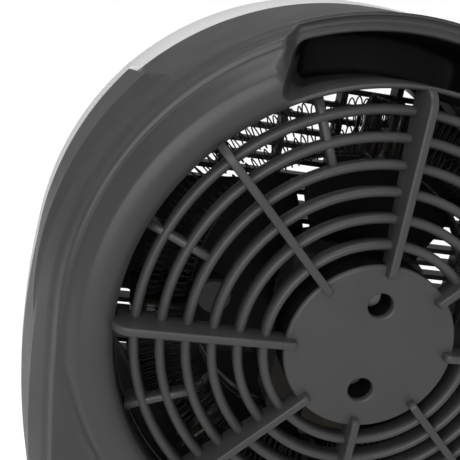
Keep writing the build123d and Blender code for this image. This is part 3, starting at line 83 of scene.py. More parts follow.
# Stepped rim and domed ring round the inlet
outer_ridge_w = -11.8
groove_w = -9.6
inner_ridge_w = -4.6
shelf_w = -4.35
shelf_width = 2.6
shelf_least_width = 0.9
rim_rounds = (0.5, 1.6, 1.0, 1.7, 0.3, 0, 0, 0, 5.0)
dome_foot_radius = 94.7
dome_foot_gap = 2.2
dome_foot_w = -4.7
dome_foot_side_lift = 0.35
dome_foot_lift_angles = (55.0, 85.0)
dome_crest = (86.4, 2.9)
dome_row_count = 30
dome_foot_row = 12
inlet_radius = 79.5
inlet_lip_w = -1.4
inlet_wall_w = -10.0
inlet_lip_round = 0.9

# Scoop and handle pocket
scoop_line = (
    [84.5, 86.4, 88.6, 90.3, 92.3, 94.8, 97.4, 98.4, 99.2, 100.4],
    [6.0, 2.9, -2.0, -6.5, -8.8, -10.9, -12.5, -12.5, -11.5, -8.0],
)
scoop_side_slope = 1.5
scoop_blend = 0.5
pocket_half_width = 41.6
pocket_draft = 0.3134
pocket_floor_radius = 81.0
pocket_floor_step = 0.5
pocket_step_w = -14.5
pocket_roof_radius = 94.8
pocket_foot_round = 2.6
pocket_roof_round = 5.0
pocket_mouth_round = 0.8
pocket_end_round = 2.0
pocket_liner_levels = (-13.9, -14.3, -15.4, -20, -27, -35, -43)
# Painted shade in the handle pocket: where it turns near-black, by depth, radius, u and v
pocket_shade_w = -16.0
pocket_shade_back_w = -32.0
pocket_shade_radius = 90.0
pocket_shade_u = 42.0
pocket_shade_v = 75.0

# Wells of the shell screws
shell_screw_place = (84.0, -92.0)
shell_screw_well = 3.8
shell_screw_mouth_round = 0.4
shell_screw_end_round = 0.8
shell_screw_levels = (-12, -24, -37)
shell_thickness = 1.2


def add_object(name, data):
    """A new object in the scene."""
    thing = bpy.data.objects.new(name, data)
    bpy.context.scene.collection.objects.link(thing)
    return thing


# Camera at the photograph's viewing angle
camera_place = Vector((81.7, 236.0, 232.0)) * MM
camera_right = Vector((-0.97772, 0.13573, 0.16015))
camera_up = Vector((0.11406, -0.29704, 0.94803))
camera_back = camera_right.cross(camera_up)

camera_data = bpy.data.cameras.new("camera")
camera_data.sensor_width = 36.0
camera_data.lens = 48.88
camera_data.clip_start = 0.01
camera = add_object("camera", camera_data)
camera_axes = Matrix((camera_right, camera_up, camera_back)).transposed()
camera.matrix_world = Matrix.Translation(camera_place) @ camera_axes.to_4x4()
bpy.context.scene.camera = camera
bpy.context.scene.view_settings.view_transform = "Standard"


# Shader nodes
def grey(level):
    """A neutral colour."""
    return (level, level, level, 1)


def rgba(colour):
    """A colour with its alpha."""
    return (*colour, 1)


def feed(tree, socket, value):
    """Link a socket from another one, or set it to a value."""
    if isinstance(value, bpy.types.NodeSocket):
        tree.links.new(value, socket)
    else:
        socket.default_value = value


def add_node(tree, kind, inputs=None, **settings):
    """The outputs of a new node, its inputs set or linked by label or number."""
    node = tree.nodes.new("ShaderNode" + kind)
    for label, value in settings.items():
        setattr(node, label, value)
    for label, value in (inputs or {}).items():
        feed(tree, node.inputs[label], value)
    return node.outputs


def add_math(tree, operation, *values):
    """The result of a math node."""
    return add_node(tree, "Math", dict(enumerate(values)), operation=operation)[0]


def add_range(tree, value, low, high, to_low=0.0, to_high=1.0, **settings):
    """A value, moved from one range to another."""
    ends = {"From Min": low, "From Max": high, "To Min": to_low, "To Max": to_high}
    return add_node(tree, "MapRange", {"Value": value, **ends}, **settings)["Result"]


def add_noise(tree, size, detail, vector=None):
    """Noise in the object's own coordinates; size is in waves per metre."""
    if vector is None:
        vector = add_node(tree, "TexCoord")["Object"]
    return add_node(tree, "TexNoise", {"Vector": vector, "Scale": size, "Detail": detail})["Fac"]


# Soft studio light, a white surround and a pale floor; sizes here are in metres
surround_grey = 0.3
floor_grey = 0.78
floor_lift = 0.6
floor_fade = (0.35, 1.1)
floor_half_size = 3.0


def add_lamp(name, place, size, power):
    """A square soft box that looks at the heater's middle."""
    data = bpy.data.lights.new(name, "AREA")
    data.size = size
    data.energy = power
    lamp = add_object(name, data)
    lamp.location = place
    aim = Vector((0, 0, 0.15)) - Vector(place)
    lamp.rotation_euler = aim.to_track_quat("-Z", "Y").to_euler()


def empty_tree(owner):
    """The cleared node tree of a world or material."""
    owner.use_nodes = True
    owner.node_tree.nodes.clear()
    return owner.node_tree


def studio_world():
    """Grey light all round, white to the camera and through clear plastic."""
    world = bpy.data.worlds.new("studio")
    bpy.context.scene.world = world
    tree = empty_tree(world)
    paths = add_node(tree, "LightPath")
    seen = add_math(tree, "MAXIMUM", paths["Is Camera Ray"], paths["Is Transmission Ray"])
    dim = add_node(tree, "Background", {"Color": grey(surround_grey)})[0]
    white = add_node(tree, "Background", {"Color": grey(1)})[0]
    both = add_node(tree, "MixShader", {0: seen, 1: dim, 2: white})[0]
    add_node(tree, "OutputWorld", {0: both})


def floor_finish():
    """Pale floor with the object's shadow, which fades to white further out."""
    material = bpy.data.materials.new("studio_floor")
    tree = empty_tree(material)
    to_camera = add_node(tree, "LightPath")["Is Camera Ray"]
    pale = add_node(tree, "BsdfDiffuse", {"Color": grey(floor_grey)})[0]
    lift = add_math(tree, "MULTIPLY", to_camera, floor_lift)
    lit = add_node(tree, "Emission", {"Color": grey(1), "Strength": lift})[0]
    near = add_node(tree, "AddShader", {0: pale, 1: lit})[0]
    white = add_node(tree, "Emission", {"Color": grey(1)})[0]
    position = add_node(tree, "NewGeometry")["Position"]
    reach = add_node(tree, "VectorMath", {0: position}, operation="LENGTH")["Value"]
    fade = add_range(tree, reach, *floor_fade, interpolation_type="SMOOTHSTEP")
    far = add_math(tree, "MULTIPLY", fade, to_camera)
    both = add_node(tree, "MixShader", {0: far, 1: near, 2: white})[0]
    add_node(tree, "OutputMaterial", {0: both})
    return material


def add_floor():
    """The level floor that the heater stands on."""
    data = bpy.data.meshes.new("floor")
    sides = ((-1, -1), (1, -1), (1, 1), (-1, 1))
    corners = [(x * floor_half_size, y * floor_half_size, 0) for x, y in sides]
    data.from_pydata(corners, [], [(0, 1, 2, 3)])
    data.materials.append(floor_finish())
    add_object("floor", data)


add_lamp("key_lamp", (0.36, 1.15, 0.3), 1.2, 15.0)
add_lamp("top_lamp", (0.22, 0.12, 1.35), 0.9, 6.2)
add_lamp("fill_lamp", (-1.1, 0.9, 0.5), 1.0, 2.0)
studio_world()
add_floor()


# Effects that several materials share, each a node group
def start_effect(name, inputs, outputs):
    """A new node group: its tree and the sockets of its two ends."""
    kinds = {1: "NodeSocketFloat", 3: "NodeSocketVector", 4: "NodeSocketColor"}
    tree = bpy.data.node_groups.new(name, "ShaderNodeTree")
    for label, value in inputs.items():
        kind = kinds[np.size(value)]
        socket = tree.interface.new_socket(label, in_out="INPUT", socket_type=kind)
        socket.default_value = value
    for label in outputs:
        kind = kinds[4 if label == "Color" else 1]
        tree.interface.new_socket(label, in_out="OUTPUT", socket_type=kind)
    enter = tree.nodes.new("NodeGroupInput").outputs
    return tree, enter, tree.nodes.new("NodeGroupOutput").inputs


def finish_effect(tree, leave, **values):
    """Feed the outputs of a node group."""
    for label, value in values.items():
        feed(tree, leave[label], value)
    return tree


def cloudy_tone_effect():
    """A colour that drifts lighter and darker."""
    inputs = {"Color": grey(0.5), "Size": 30.0, "Spread": 0.1}
    tree, enter, leave = start_effect("cloudy_tone", inputs, ["Color"])
    drift = add_math(tree, "MULTIPLY", add_noise(tree, enter["Size"], 4.0), 0.75)
    fleck = add_math(tree, "MULTIPLY", add_noise(tree, 900.0, 2.0), 0.25)
    low = add_math(tree, "SUBTRACT", 1.0, enter["Spread"])
    high = add_math(tree, "ADD", 1.0, enter["Spread"])
    share = add_range(tree, add_math(tree, "ADD", drift, fleck), 0.3, 0.7, low, high)
    tone = add_node(tree, "VectorMath", {0: enter["Color"], "Scale": share}, operation="SCALE")
    return finish_effect(tree, leave, Color=tone[0])


def moulded_grain_effect():
    """Fine even grain of a moulded surface, with a slow wave under it."""
    tree, enter, leave = start_effect("moulded_grain", {"Size": 1400.0, "Wave": 0.5}, ["Height"])
    grain = add_noise(tree, enter["Size"], 2.0)
    wave = add_math(tree, "MULTIPLY", add_noise(tree, 25.0, 2.0), enter["Wave"])
    return finish_effect(tree, leave, Height=add_math(tree, "ADD", grain, wave))


def uneven_gloss_effect():
    """Roughness between two values, in soft patches."""
    inputs = {"Low": 0.3, "High": 0.5, "Size": 40.0}
    tree, enter, leave = start_effect("uneven_gloss", inputs, ["Roughness"])
    patch = add_noise(tree, enter["Size"], 5.0)
    roughness = add_range(tree, patch, 0.3, 0.7, enter["Low"], enter["High"])
    return finish_effect(tree, leave, Roughness=roughness)


def broken_mask(tree, place, noise, amount):
    """A mask of places, broken by noise and scaled by an amount."""
    return add_math(tree, "MULTIPLY", add_math(tree, "MULTIPLY", place, noise), amount)


def settled_dust_effect():
    """Where dust lies: on what faces up, in broken patches."""
    tree, enter, leave = start_effect("settled_dust", {"Amount": 0.3}, ["Mask"])
    normal = add_node(tree, "NewGeometry")["Normal"]
    upward = add_range(tree, add_node(tree, "SeparateXYZ", {0: normal})["Z"], 0.2, 1.0)
    patch = add_range(tree, add_noise(tree, 160.0, 6.0), 0.42, 0.7)
    return finish_effect(tree, leave, Mask=broken_mask(tree, upward, patch, enter["Amount"]))


def rubbed_edges_effect():
    """Where handling polishes: along outer edges, broken by small noise."""
    tree, enter, leave = start_effect("rubbed_edges", {"Amount": 0.5}, ["Mask"])
    edge = add_range(tree, add_node(tree, "NewGeometry")["Pointiness"], 0.515, 0.6)
    patch = add_range(tree, add_noise(tree, 220.0, 3.0), 0.35, 0.6)
    return finish_effect(tree, leave, Mask=broken_mask(tree, edge, patch, enter["Amount"]))


def drawn_lines_effect():
    """Fine lines of rolled or turned metal; Stretch sets their direction."""
    inputs = {"Stretch": (1.0, 1.0, 0.03), "Size": 1200.0}
    tree, enter, leave = start_effect("drawn_lines", inputs, ["Height"])
    place = add_node(tree, "TexCoord")["Object"]
    stretched = add_node(tree, "VectorMath", {0: place, 1: enter["Stretch"]}, operation="MULTIPLY")
    return finish_effect(tree, leave, Height=add_noise(tree, enter["Size"], 3.0, stretched[0]))


def stacked_layers_effect():
    """Thin even layers along the fan axis."""
    tree, enter, leave = start_effect("stacked_layers", {"Pitch": 0.001}, ["Height", "Gap"])
    place = add_node(tree, "SeparateXYZ", {0: add_node(tree, "TexCoord")["Object"]})
    count = add_math(tree, "DIVIDE", place["Y"], enter["Pitch"])
    saw = add_math(tree, "PINGPONG", count, 0.5)
    return finish_effect(tree, leave, Height=saw, Gap=add_math(tree, "LESS_THAN", saw, 0.09))


cloudy_tone = cloudy_tone_effect()
moulded_grain = moulded_grain_effect()
uneven_gloss = uneven_gloss_effect()
settled_dust = settled_dust_effect()
rubbed_edges = rubbed_edges_effect()
drawn_lines = drawn_lines_effect()
stacked_layers = stacked_layers_effect()


# Kinds of material. Colours are linear, gloss is the lowest and highest roughness, sizes of noise
# are in waves per metre, and depths of relief are in metres.
def use_effect(tree, effect, **values):
    """The outputs of a shared effect, placed in a material with its own values."""
    return add_node(tree, "Group", values, node_tree=effect)


def mix_colour(tree, mask, first, second):
    """A colour that goes from first to second where the mask is white."""
    return add_node(tree, "Mix", {"Factor": mask, 6: first, 7: second}, data_type="RGBA")[2]


def patchy_gloss(tree, gloss, size):
    """Roughness that drifts between the two values of gloss."""
    return use_effect(tree, uneven_gloss, Low=gloss[0], High=gloss[1], Size=size)["Roughness"]


plastic_dust = (0.32, 0.31, 0.29)
metal_dust = (0.3, 0.29, 0.27)


def with_dust(tree, tone, amount, dust):
    """A tone with dust lying on it, if there is any."""
    if not amount:
        return tone
    lying = use_effect(tree, settled_dust, Amount=amount)["Mask"]
    return mix_colour(tree, lying, tone, rgba(dust))


def new_material(name, colour, roughness, metallic=0.0, **settings):
    """A material whose shader already has about the right values."""
    material = bpy.data.materials.new(name)
    material.use_nodes = True
    shader = material.node_tree.nodes["Principled BSDF"]
    values = {"Base Color": rgba(colour), "Roughness": roughness, "Metallic": metallic}
    for label, value in {**values, **settings}.items():
        shader.inputs[label.replace("_", " ")].default_value = value
    return material, material.node_tree


def dress(material, tone, roughness, height, strength, depth):
    """Give a material its colour, roughness and relief."""
    tree = material.node_tree
    shader = tree.nodes["Principled BSDF"]
    feed(tree, shader.inputs["Base Color"], tone)
    feed(tree, shader.inputs["Roughness"], roughness)
    bump = add_node(tree, "Bump", {"Strength": strength, "Distance": depth, "Height": height})
    feed(tree, shader.inputs["Normal"], bump["Normal"])
    return material


def moulded_plastic(name, colour, gloss, grain, relief, spread, dust, wear, shine):
    """Cloudy tone, fine grain and uneven gloss, with rubbed edges and dust if asked."""
    material, tree = new_material(name, colour, sum(gloss) / 2, Specular_IOR_Level=shine)
    tone = use_effect(tree, cloudy_tone, Color=rgba(colour), Size=28.0, Spread=spread)["Color"]
    if wear:
        edges = use_effect(tree, rubbed_edges, Amount=wear)["Mask"]
        rubbed = [min(1.0, channel * 1.35 + 0.01) for channel in colour]
        tone = mix_colour(tree, edges, tone, rgba(rubbed))
    tone = with_dust(tree, tone, dust, plastic_dust)
    height = use_effect(tree, moulded_grain, Size=grain, Wave=0.4)["Height"]
    return dress(material, tone, patchy_gloss(tree, gloss, 45.0), height, relief, 0.0002)


def worked_metal(name, colour, gloss, lines, relief, spread, dust=0.0, metallic=1.0):
    """Fine lines, slightly cloudy tone and smudged gloss, with dust if asked."""
    material, tree = new_material(name, colour, sum(gloss) / 2, metallic)
    tone = use_effect(tree, cloudy_tone, Color=rgba(colour), Size=60.0, Spread=spread)["Color"]
    tone = with_dust(tree, tone, dust, metal_dust)
    height = use_effect(tree, drawn_lines, Stretch=lines, Size=1500.0)["Height"]
    return dress(material, tone, patchy_gloss(tree, gloss, 90.0), height, relief, 0.0001)


def layered_material(name, colour, gap_colour, pitch, gloss, metallic):
    """Thin layers with darker gaps between them."""
    material, tree = new_material(name, colour, sum(gloss) / 2, metallic)
    tone = use_effect(tree, cloudy_tone, Color=rgba(colour), Size=120.0, Spread=0.15)["Color"]
    layers = use_effect(tree, stacked_layers, Pitch=pitch)
    tone = mix_colour(tree, layers["Gap"], tone, rgba(gap_colour))
    return dress(material, tone, patchy_gloss(tree, gloss, 150.0), layers["Height"], 0.5, 0.0002)


def mica():
    """Pressed mica: flakes of uneven tone and gloss, darkened to near-black as painted shade inside the heater."""
    material, tree = new_material("mica", (0.12, 0.1, 0.075), 0.35)
    place = add_node(tree, "TexCoord")["Object"]
    flakes = add_node(tree, "TexVoronoi", {"Scale": 450.0, "Vector": place})
    parts = add_node(tree, "SeparateColor", {0: flakes["Color"]})
    # Painted shade: the flakes' two tones are near-black, for the unlit inside of the heater
    tone = mix_colour(tree, parts[0], rgba((0.008, 0.007, 0.0055)), rgba((0.024, 0.02, 0.016)))
    roughness = add_range(tree, parts[1], 0.0, 1.0, 0.2, 0.5)
    return dress(material, tone, roughness, flakes["Distance"], 0.25, 0.0002)


def element_wire():
    """Heating wire: dark oxide with patches that are browner and duller."""
    material, tree = new_material("element_wire", grey(0.006)[:3], 0.7)
    heat = add_range(tree, add_noise(tree, 70.0, 3.0), 0.4, 0.65)
    tone = mix_colour(tree, heat, grey(0.004), rgba((0.012, 0.009, 0.007)))
    roughness = add_range(tree, heat, 0.0, 1.0, 0.6, 0.8)
    scale = use_effect(tree, moulded_grain, Size=5000.0, Wave=0.1)["Height"]
    return dress(material, tone, roughness, scale, 0.4, 0.0001)


def lens():
    """Frosted lens of the pilot lamp: amber, with fine flutes."""
    amber = (0.75, 0.28, 0.05)
    clear = {"IOR": 1.49, "Transmission_Weight": 0.5}
    material, tree = new_material("lens", amber, 0.25, **clear)
    tone = use_effect(tree, cloudy_tone, Color=rgba(amber), Size=80.0, Spread=0.08)["Color"]
    flutes = use_effect(tree, stacked_layers, Pitch=0.0006)["Height"]
    return dress(material, tone, patchy_gloss(tree, (0.18, 0.34), 200.0), flutes, 0.3, 0.0002)


# Plastics: colour, gloss, size of grain, relief, spread of tone, dust, rubbed edges, shine
plastics = {
    # Rear shell and inlet grille
    "dark_plastic": ((0.045, 0.045, 0.0455), (0.29, 0.38), 2600.0, 0.1, 0.1, 0.04, 0.5, 0.3),
    # Outlet grille
    "grille_plastic": ((0.045, 0.045, 0.0455), (0.34, 0.44), 2200.0, 0.08, 0.07, 0.06, 0.4, 0.5),
    # Front shell
    "pale_plastic": ((0.8, 0.8, 0.795), (0.32, 0.42), 2600.0, 0.08, 0.02, 0.04, 0, 0.5),
    # Control panel
    "panel_plastic": ((0.05, 0.05, 0.051), (0.4, 0.52), 1500.0, 0.2, 0.06, 0.05, 0, 0.5),
    # Base tray, with a coarser grain
    "base_plastic": ((0.038, 0.038, 0.0385), (0.42, 0.55), 1300.0, 0.25, 0.08, 0.1, 0, 0.5),
    # Knobs, polished by fingers along their edges
    "knob_plastic": ((0.035, 0.035, 0.036), (0.28, 0.4), 1800.0, 0.12, 0.06, 0, 0.6, 0.5),
    # Fan, black; the same near-black with little shine is painted shade on the unlit inside of the handle pocket
    # and of the hub's wells
    "fan_plastic": ((0.004, 0.004, 0.004), (0.55, 0.7), 1500.0, 0.1, 0.1, 0.03, 0, 0.15),
    # Feet and cord gland, dull and a little dusty
    "rubber": ((0.018, 0.018, 0.018), (0.75, 0.92), 900.0, 0.4, 0.12, 0.15, 0, 0.5),
    # Bodies of the switches, thermostat, cut-out and pilot lamp
    "black_phenolic": ((0.02, 0.018, 0.016), (0.3, 0.42), 2000.0, 0.1, 0.1, 0, 0, 0.5),
    # Terminal block and tip-over plunger
    "white_nylon": ((0.7, 0.69, 0.65), (0.35, 0.5), 1600.0, 0.12, 0.04, 0.05, 0, 0.5),
}
# Metals: colour, gloss, how fast the lines change along each axis, relief, spread of tone, dust
metals = {
    # Motor brackets and element terminals, pressed from sheet; darkened as painted shade for the unlit inside of
    # the body
    "zinc_steel": ((0.08, 0.082, 0.084), (0.3, 0.45), (1.0, 1.0, 0.03), 0.2, 0.12),
    # Motor shaft, nut, fuse case and plunger spring, ground or drawn bright
    "shaft_steel": ((0.5, 0.5, 0.5), (0.16, 0.26), (0.03, 1.0, 0.03), 0.12, 0.06),
    # Screws
    "screw_steel": ((0.36, 0.36, 0.35), (0.28, 0.42), (0.2, 1.0, 0.2), 0.15, 0.1),
    # Motor bearings, sintered
    "bronze": ((0.33, 0.2, 0.09), (0.3, 0.5), (0.3, 1.0, 0.3), 0.2, 0.12),
    # Rotor, cast
    "rotor_alloy": ((0.38, 0.38, 0.38), (0.25, 0.4), (0.2, 1.0, 0.2), 0.2, 0.1),
    # Air duct, rolled and painted, so not metallic; its near-black is painted shade for the unlit inside of the
    # body
    "duct_steel": ((0.01, 0.01, 0.01), (0.5, 0.68), (1.0, 0.03, 1.0), 0.2, 0.12, 0.05, 0.0),
}
# Layered materials: colour, colour of the gaps, pitch in metres, gloss, metallic
layered = {
    # Stacked sheets of the stator
    "lamination": ((0.22, 0.21, 0.2), (0.05, 0.045, 0.04), 0.0005, (0.4, 0.6), 0.9),
    # Tape wound round the motor coil
    "coil_tape": ((0.02, 0.014, 0.008), (0.01, 0.008, 0.005), 0.0035, (0.25, 0.4), 0.0),
}
finishes = {"mica": mica(), "element_wire": element_wire(), "lens": lens()}
kinds = ((moulded_plastic, plastics), (worked_metal, metals), (layered_material, layered))
for make, table in kinds:
    finishes.update({name: make(name, *values) for name, values in table.items()})

part_slots = {part["node"]: part["material_slot"] for part in frame["record"]["subparts"]}
for name, node in frame["nodes"].items():
    node.data.materials.clear()
    node.data.materials.append(finishes[part_slots[name]])


# Shared ways of making pieces
def spot(u, v, w):
    """A place of the frame, in metres."""
    return np.stack([-u * MM, ring_plane_y + w * MM, hub_height + v * MM], axis=-1)


def polar(radius, turn):
    """u and v at a radius and an angle round the fan axis."""
    return radius * np.cos(turn), radius * np.sin(turn)


def unit(vectors):
    """The same directions, each one long."""
    return vectors / np.linalg.norm(vectors, axis=-1, keepdims=True)


def add_piece(name, places, faces, slot, replaced=(), body="housing"):
    """A smooth mesh piece that rides on a body and may stand for CAD nodes."""
    data = bpy.data.meshes.new(name)
    data.from_pydata([tuple(place) for place in places], [], faces)
    data.validate()
    data.shade_smooth()
    data.materials.append(finishes[slot])
    piece = add_object(name, data)
    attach(piece, body)
    if replaced:
        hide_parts(*replaced)
    return piece


def thicken(piece, thickness, offset=0):
    """Give a sheet its thickness, to both sides or, at an offset of -1, inwards."""
    thick = piece.modifiers.new("thickness", "SOLIDIFY")
    thick.thickness = thickness * MM
    thick.offset = offset


def finish_where(piece, slot, wanted):
    """A second finish on the faces whose middles are wanted."""
    piece.data.materials.append(finishes[slot])
    for face in piece.data.polygons:
        face.material_index = int(wanted(face.center))


def sheet_faces(rows, columns, closed_rows=False, closed_columns=False):
    """Quads of a grid of points that is stored row by row."""
    faces = []
    for i in range(rows if closed_rows else rows - 1):
        this_row = i * columns
        next_row = (i + 1) % rows * columns
        for j in range(columns if closed_columns else columns - 1):
            n = (j + 1) % columns
            faces.append((this_row + j, this_row + n, next_row + n, next_row + j))
    return faces


def capped_tube_faces(rows, columns):
    """Faces of a closed tube whose points are stored ring by ring."""
    last = (rows - 1) * columns
    ends = [tuple(range(columns - 1, -1, -1)), tuple(range(last, last + columns))]
    return sheet_faces(rows, columns, closed_columns=True) + ends


def joined(parts):
    """One set of points and faces made from several."""
    places = []
    faces = []
    total = 0
    for part_places, part_faces in parts:
        places.append(np.asarray(part_places))
        faces += [tuple(total + k for k in face) for face in part_faces]
        total += len(part_places)
    return np.concatenate(places), faces


def arc_points(centre_u, centre_v, radius, low, high, count, ends=False):
    """Points of an arc, without its last one unless ends is set."""
    turn = np.linspace(low, high, count, endpoint=ends)
    u, v = polar(radius, turn)
    return np.stack([centre_u + u, centre_v + v], axis=-1)


def outward(points):
    """Outward normals of a counter-clockwise loop of points."""
    along = unit(np.roll(points, -1, axis=0) - np.roll(points, 1, axis=0))
    return np.stack([along[:, 1], -along[:, 0]], axis=-1)


def inside(points, loop):
    """True for the points that lie inside a loop."""
    after = np.roll(loop, -1, axis=0)
    crossed = (loop[:, 1] > points[:, None, 1]) != (after[:, 1] > points[:, None, 1])
    rise = np.where(after[:, 1] == loop[:, 1], 1e-9, after[:, 1] - loop[:, 1])
    where = loop[:, 0] + (points[:, None, 1] - loop[:, 1]) * (after[:, 0] - loop[:, 0]) / rise
    return (crossed & (points[:, None, 0] < where)).sum(axis=1) % 2 == 1


most_rounded = 0.48


def rounded_line(corners, radii, steps=7):
    """Rows along a line whose inner corners are rounded; a corner is an array of (radius, w)."""
    rows = [corners[0]]
    for before, corner, after, radius in zip(corners, corners[1:], corners[2:], radii):
        if radius == 0:
            rows.append(corner)
            continue
        into = np.linalg.norm(before - corner, axis=-1, keepdims=True)
        out = np.linalg.norm(after - corner, axis=-1, keepdims=True)
        start = corner + (before - corner) * np.minimum(most_rounded, radius / into)
        end = corner + (after - corner) * np.minimum(most_rounded, radius / out)
        for t in np.linspace(0, 1, steps):
            rows.append((1 - t) ** 2 * start + 2 * t * (1 - t) * corner + t**2 * end)
    rows.append(corners[-1])
    return rows


def loose_loop(loop, mesh):
    """Vertices and edges of a closed loop of places."""
    verts = [mesh.verts.new(place) for place in loop]
    edges = [mesh.edges.new((a, b)) for a, b in zip(verts, verts[1:] + verts[:1])]
    return verts, edges


def taken_out(mesh):
    """Points and faces of a finished working mesh, which is freed."""
    mesh.verts.index_update()
    places = np.array([vert.co for vert in mesh.verts])
    faces = [tuple(vert.index for vert in face.verts) for face in mesh.faces]
    mesh.free()
    return places, faces


# Rear shell
def arch_radius(arch, angle, inset=0.0):
    """Radius at these angles of an arch that is moved inwards by inset."""
    shift = arch.top_radius - arch.shoulder_radius
    top_v = arch.rise - arch.top_radius
    shoulder_u = shift * math.sin(crown_half_angle)
    shoulder_v = top_v + shift * math.cos(crown_half_angle)
    side_u = arch.half_width - arch.side_radius
    run = shoulder_u - side_u
    drop = math.sqrt(max(0.0, (arch.side_radius - arch.shoulder_radius) ** 2 - run**2))
    side_v = shoulder_v - drop
    side_end = math.atan2(drop, run)
    start = math.asin((-arch_drop - side_v) / (arch.side_radius - inset))
    crown_start = math.pi / 2 - crown_half_angle
    line = [np.array([(0.0, -arch_drop)])]
    for centre_u, centre_v, radius, low, high in (
        (side_u, side_v, arch.side_radius, start, side_end),
        (shoulder_u, shoulder_v, arch.shoulder_radius, side_end, crown_start),
        (0.0, top_v, arch.top_radius, crown_start, math.pi / 2),
    ):
        line.append(arc_points(centre_u, centre_v, radius - inset, low, high, 400, ends=True))
    line_u, line_v = np.concatenate(line).T
    folded = np.arctan2(np.sin(angle), np.abs(np.cos(angle)))
    return np.interp(folded, np.arctan2(line_v, line_u), np.hypot(line_u, line_v))


def barrel_inset(depth):
    """How far the bulging side stands inside the outline at this depth."""
    return (depth - widest_depth) ** 2 / (2 * barrel_radius)


def with_band(radius, depth, angle):
    """Radius of the wall with the raised band, which starts at a short ramp."""
    band = np.interp(depth, *band_line)
    u = np.abs(band * np.cos(angle))
    v = band * np.sin(angle)
    below = band_top[1] + (band_top[0] - u) * band_top_slope - v
    share = np.clip(below / band_ramp, 0, 1)
    share = share * share * (3 - 2 * share)
    return radius + share * np.maximum(0, band - radius)


def scooped(u, v, w):
    """Height of the rear surface with the scoop cut out of it."""
    floor = np.interp(np.hypot(u, v), *scoop_line)
    beside = np.maximum(0, np.abs(u) - (pocket_half_width + pocket_draft * floor))
    floor = np.where(v > 0, floor + scoop_side_slope * beside, 50.0)
    share = np.clip(0.5 + (floor - w) / (2 * scoop_blend), 0, 1)
    return share * w + (1 - share) * floor - scoop_blend * share * (1 - share)


def level_row(radius, w, angle):
    """A row of (radius, w) with one value for each angle."""
    ones = np.ones_like(angle)
    return np.stack([radius * ones, w * ones], axis=-1)


def wall_rows(angle):
    """Rows of the side wall from the seam to its foot, with the shoulder bands on them."""
    seam = arch_radius(body_arch, angle, barrel_inset(seam_depth))
    foot = arch_radius(foot_arch, angle)
    rows = []
    for depth in wall_depths:
        share = (depth - wall_foot_depth) / (seam_depth - wall_foot_depth)
        radius = with_band(foot + (seam - foot) * share, depth, angle)
        rows.append(level_row(radius, -depth, angle))
    return rows


def dome_rows(foot_radius, foot_w):
    """Rows of the domed ring, on an arc from its foot over the crest to the lip."""
    low = np.stack([foot_radius, foot_w], axis=-1)
    lip = np.broadcast_to(np.array((inlet_radius, inlet_lip_w)), low.shape)
    a = np.broadcast_to(np.array(dome_crest), low.shape) - lip
    b = low - lip
    cross = 2 * (a[:, 0] * b[:, 1] - a[:, 1] * b[:, 0])
    a_square = (a**2).sum(axis=-1)
    b_square = (b**2).sum(axis=-1)
    centre_radius = (b[:, 1] * a_square - a[:, 1] * b_square) / cross
    centre_w = (a[:, 0] * b_square - b[:, 0] * a_square) / cross
    centre = lip + np.stack([centre_radius, centre_w], axis=-1)
    radius = np.linalg.norm(lip - centre, axis=-1)
    first = np.arctan2(low[:, 1] - centre[:, 1], low[:, 0] - centre[:, 0])
    last = np.arctan2(lip[:, 1] - centre[:, 1], lip[:, 0] - centre[:, 0])
    rows = []
    for share in np.linspace(0, 1, dome_row_count):
        turn = first + (last - first) * share
        rows.append(centre + np.stack(polar(radius, turn), axis=-1))
    return rows


def rear_profile(angle):
    """Rows of the rear shell's outside from seam to inlet, before the scoop."""
    wall = wall_rows(angle)
    ridge = arch_radius(inner_ridge_arch, angle)
    foot = np.minimum(dome_foot_radius, ridge - dome_foot_gap)
    from_top = np.degrees(np.abs(angle - math.pi / 2))
    foot_w = dome_foot_w + np.interp(from_top, dome_foot_lift_angles, (0, dome_foot_side_lift))
    shelf = np.maximum(ridge - shelf_width, foot + shelf_least_width)
    dome = dome_rows(foot, foot_w)
    corners = [
        *wall[-2:],
        level_row(arch_radius(outer_ridge_arch, angle), outer_ridge_w, angle),
        level_row(arch_radius(groove_arch, angle), groove_w, angle),
        level_row(ridge, inner_ridge_w, angle),
    ]
    for share in (1, 0.92, 0.8, 0.68):
        corners.append(level_row(foot + (shelf - foot) * share, shelf_w, angle))
    corners += [level_row(foot, foot_w, angle), dome[dome_foot_row]]
    rim = rounded_line(corners, rim_rounds)
    edge = [level_row(inlet_radius, w, angle) for w in (inlet_lip_w, inlet_wall_w)]
    lip = rounded_line([dome[-2], *edge], (inlet_lip_round,))
    return np.stack(wall[:-2] + rim + dome[dome_foot_row + 1:-1] + lip[1:])


def rear_height(u, v):
    """Height of the finished rear surface at these places."""
    profile = rear_profile(np.arctan2(v, u))[::-1]
    radius = np.hypot(u, v)
    height = [np.interp(radius[k], *profile[:, k].T) for k in range(len(radius))]
    return scooped(u, v, np.array(height))


# Holes in the rear shell. An outline is a loop of points at each of these levels of w.
hole_levels = np.linspace(-50.0, 6.0, 57)
mouth_turns = np.radians((20, 40, 60, 80))
end_turns = np.radians((30, 60, 90))
rear_face_limit = -30.0


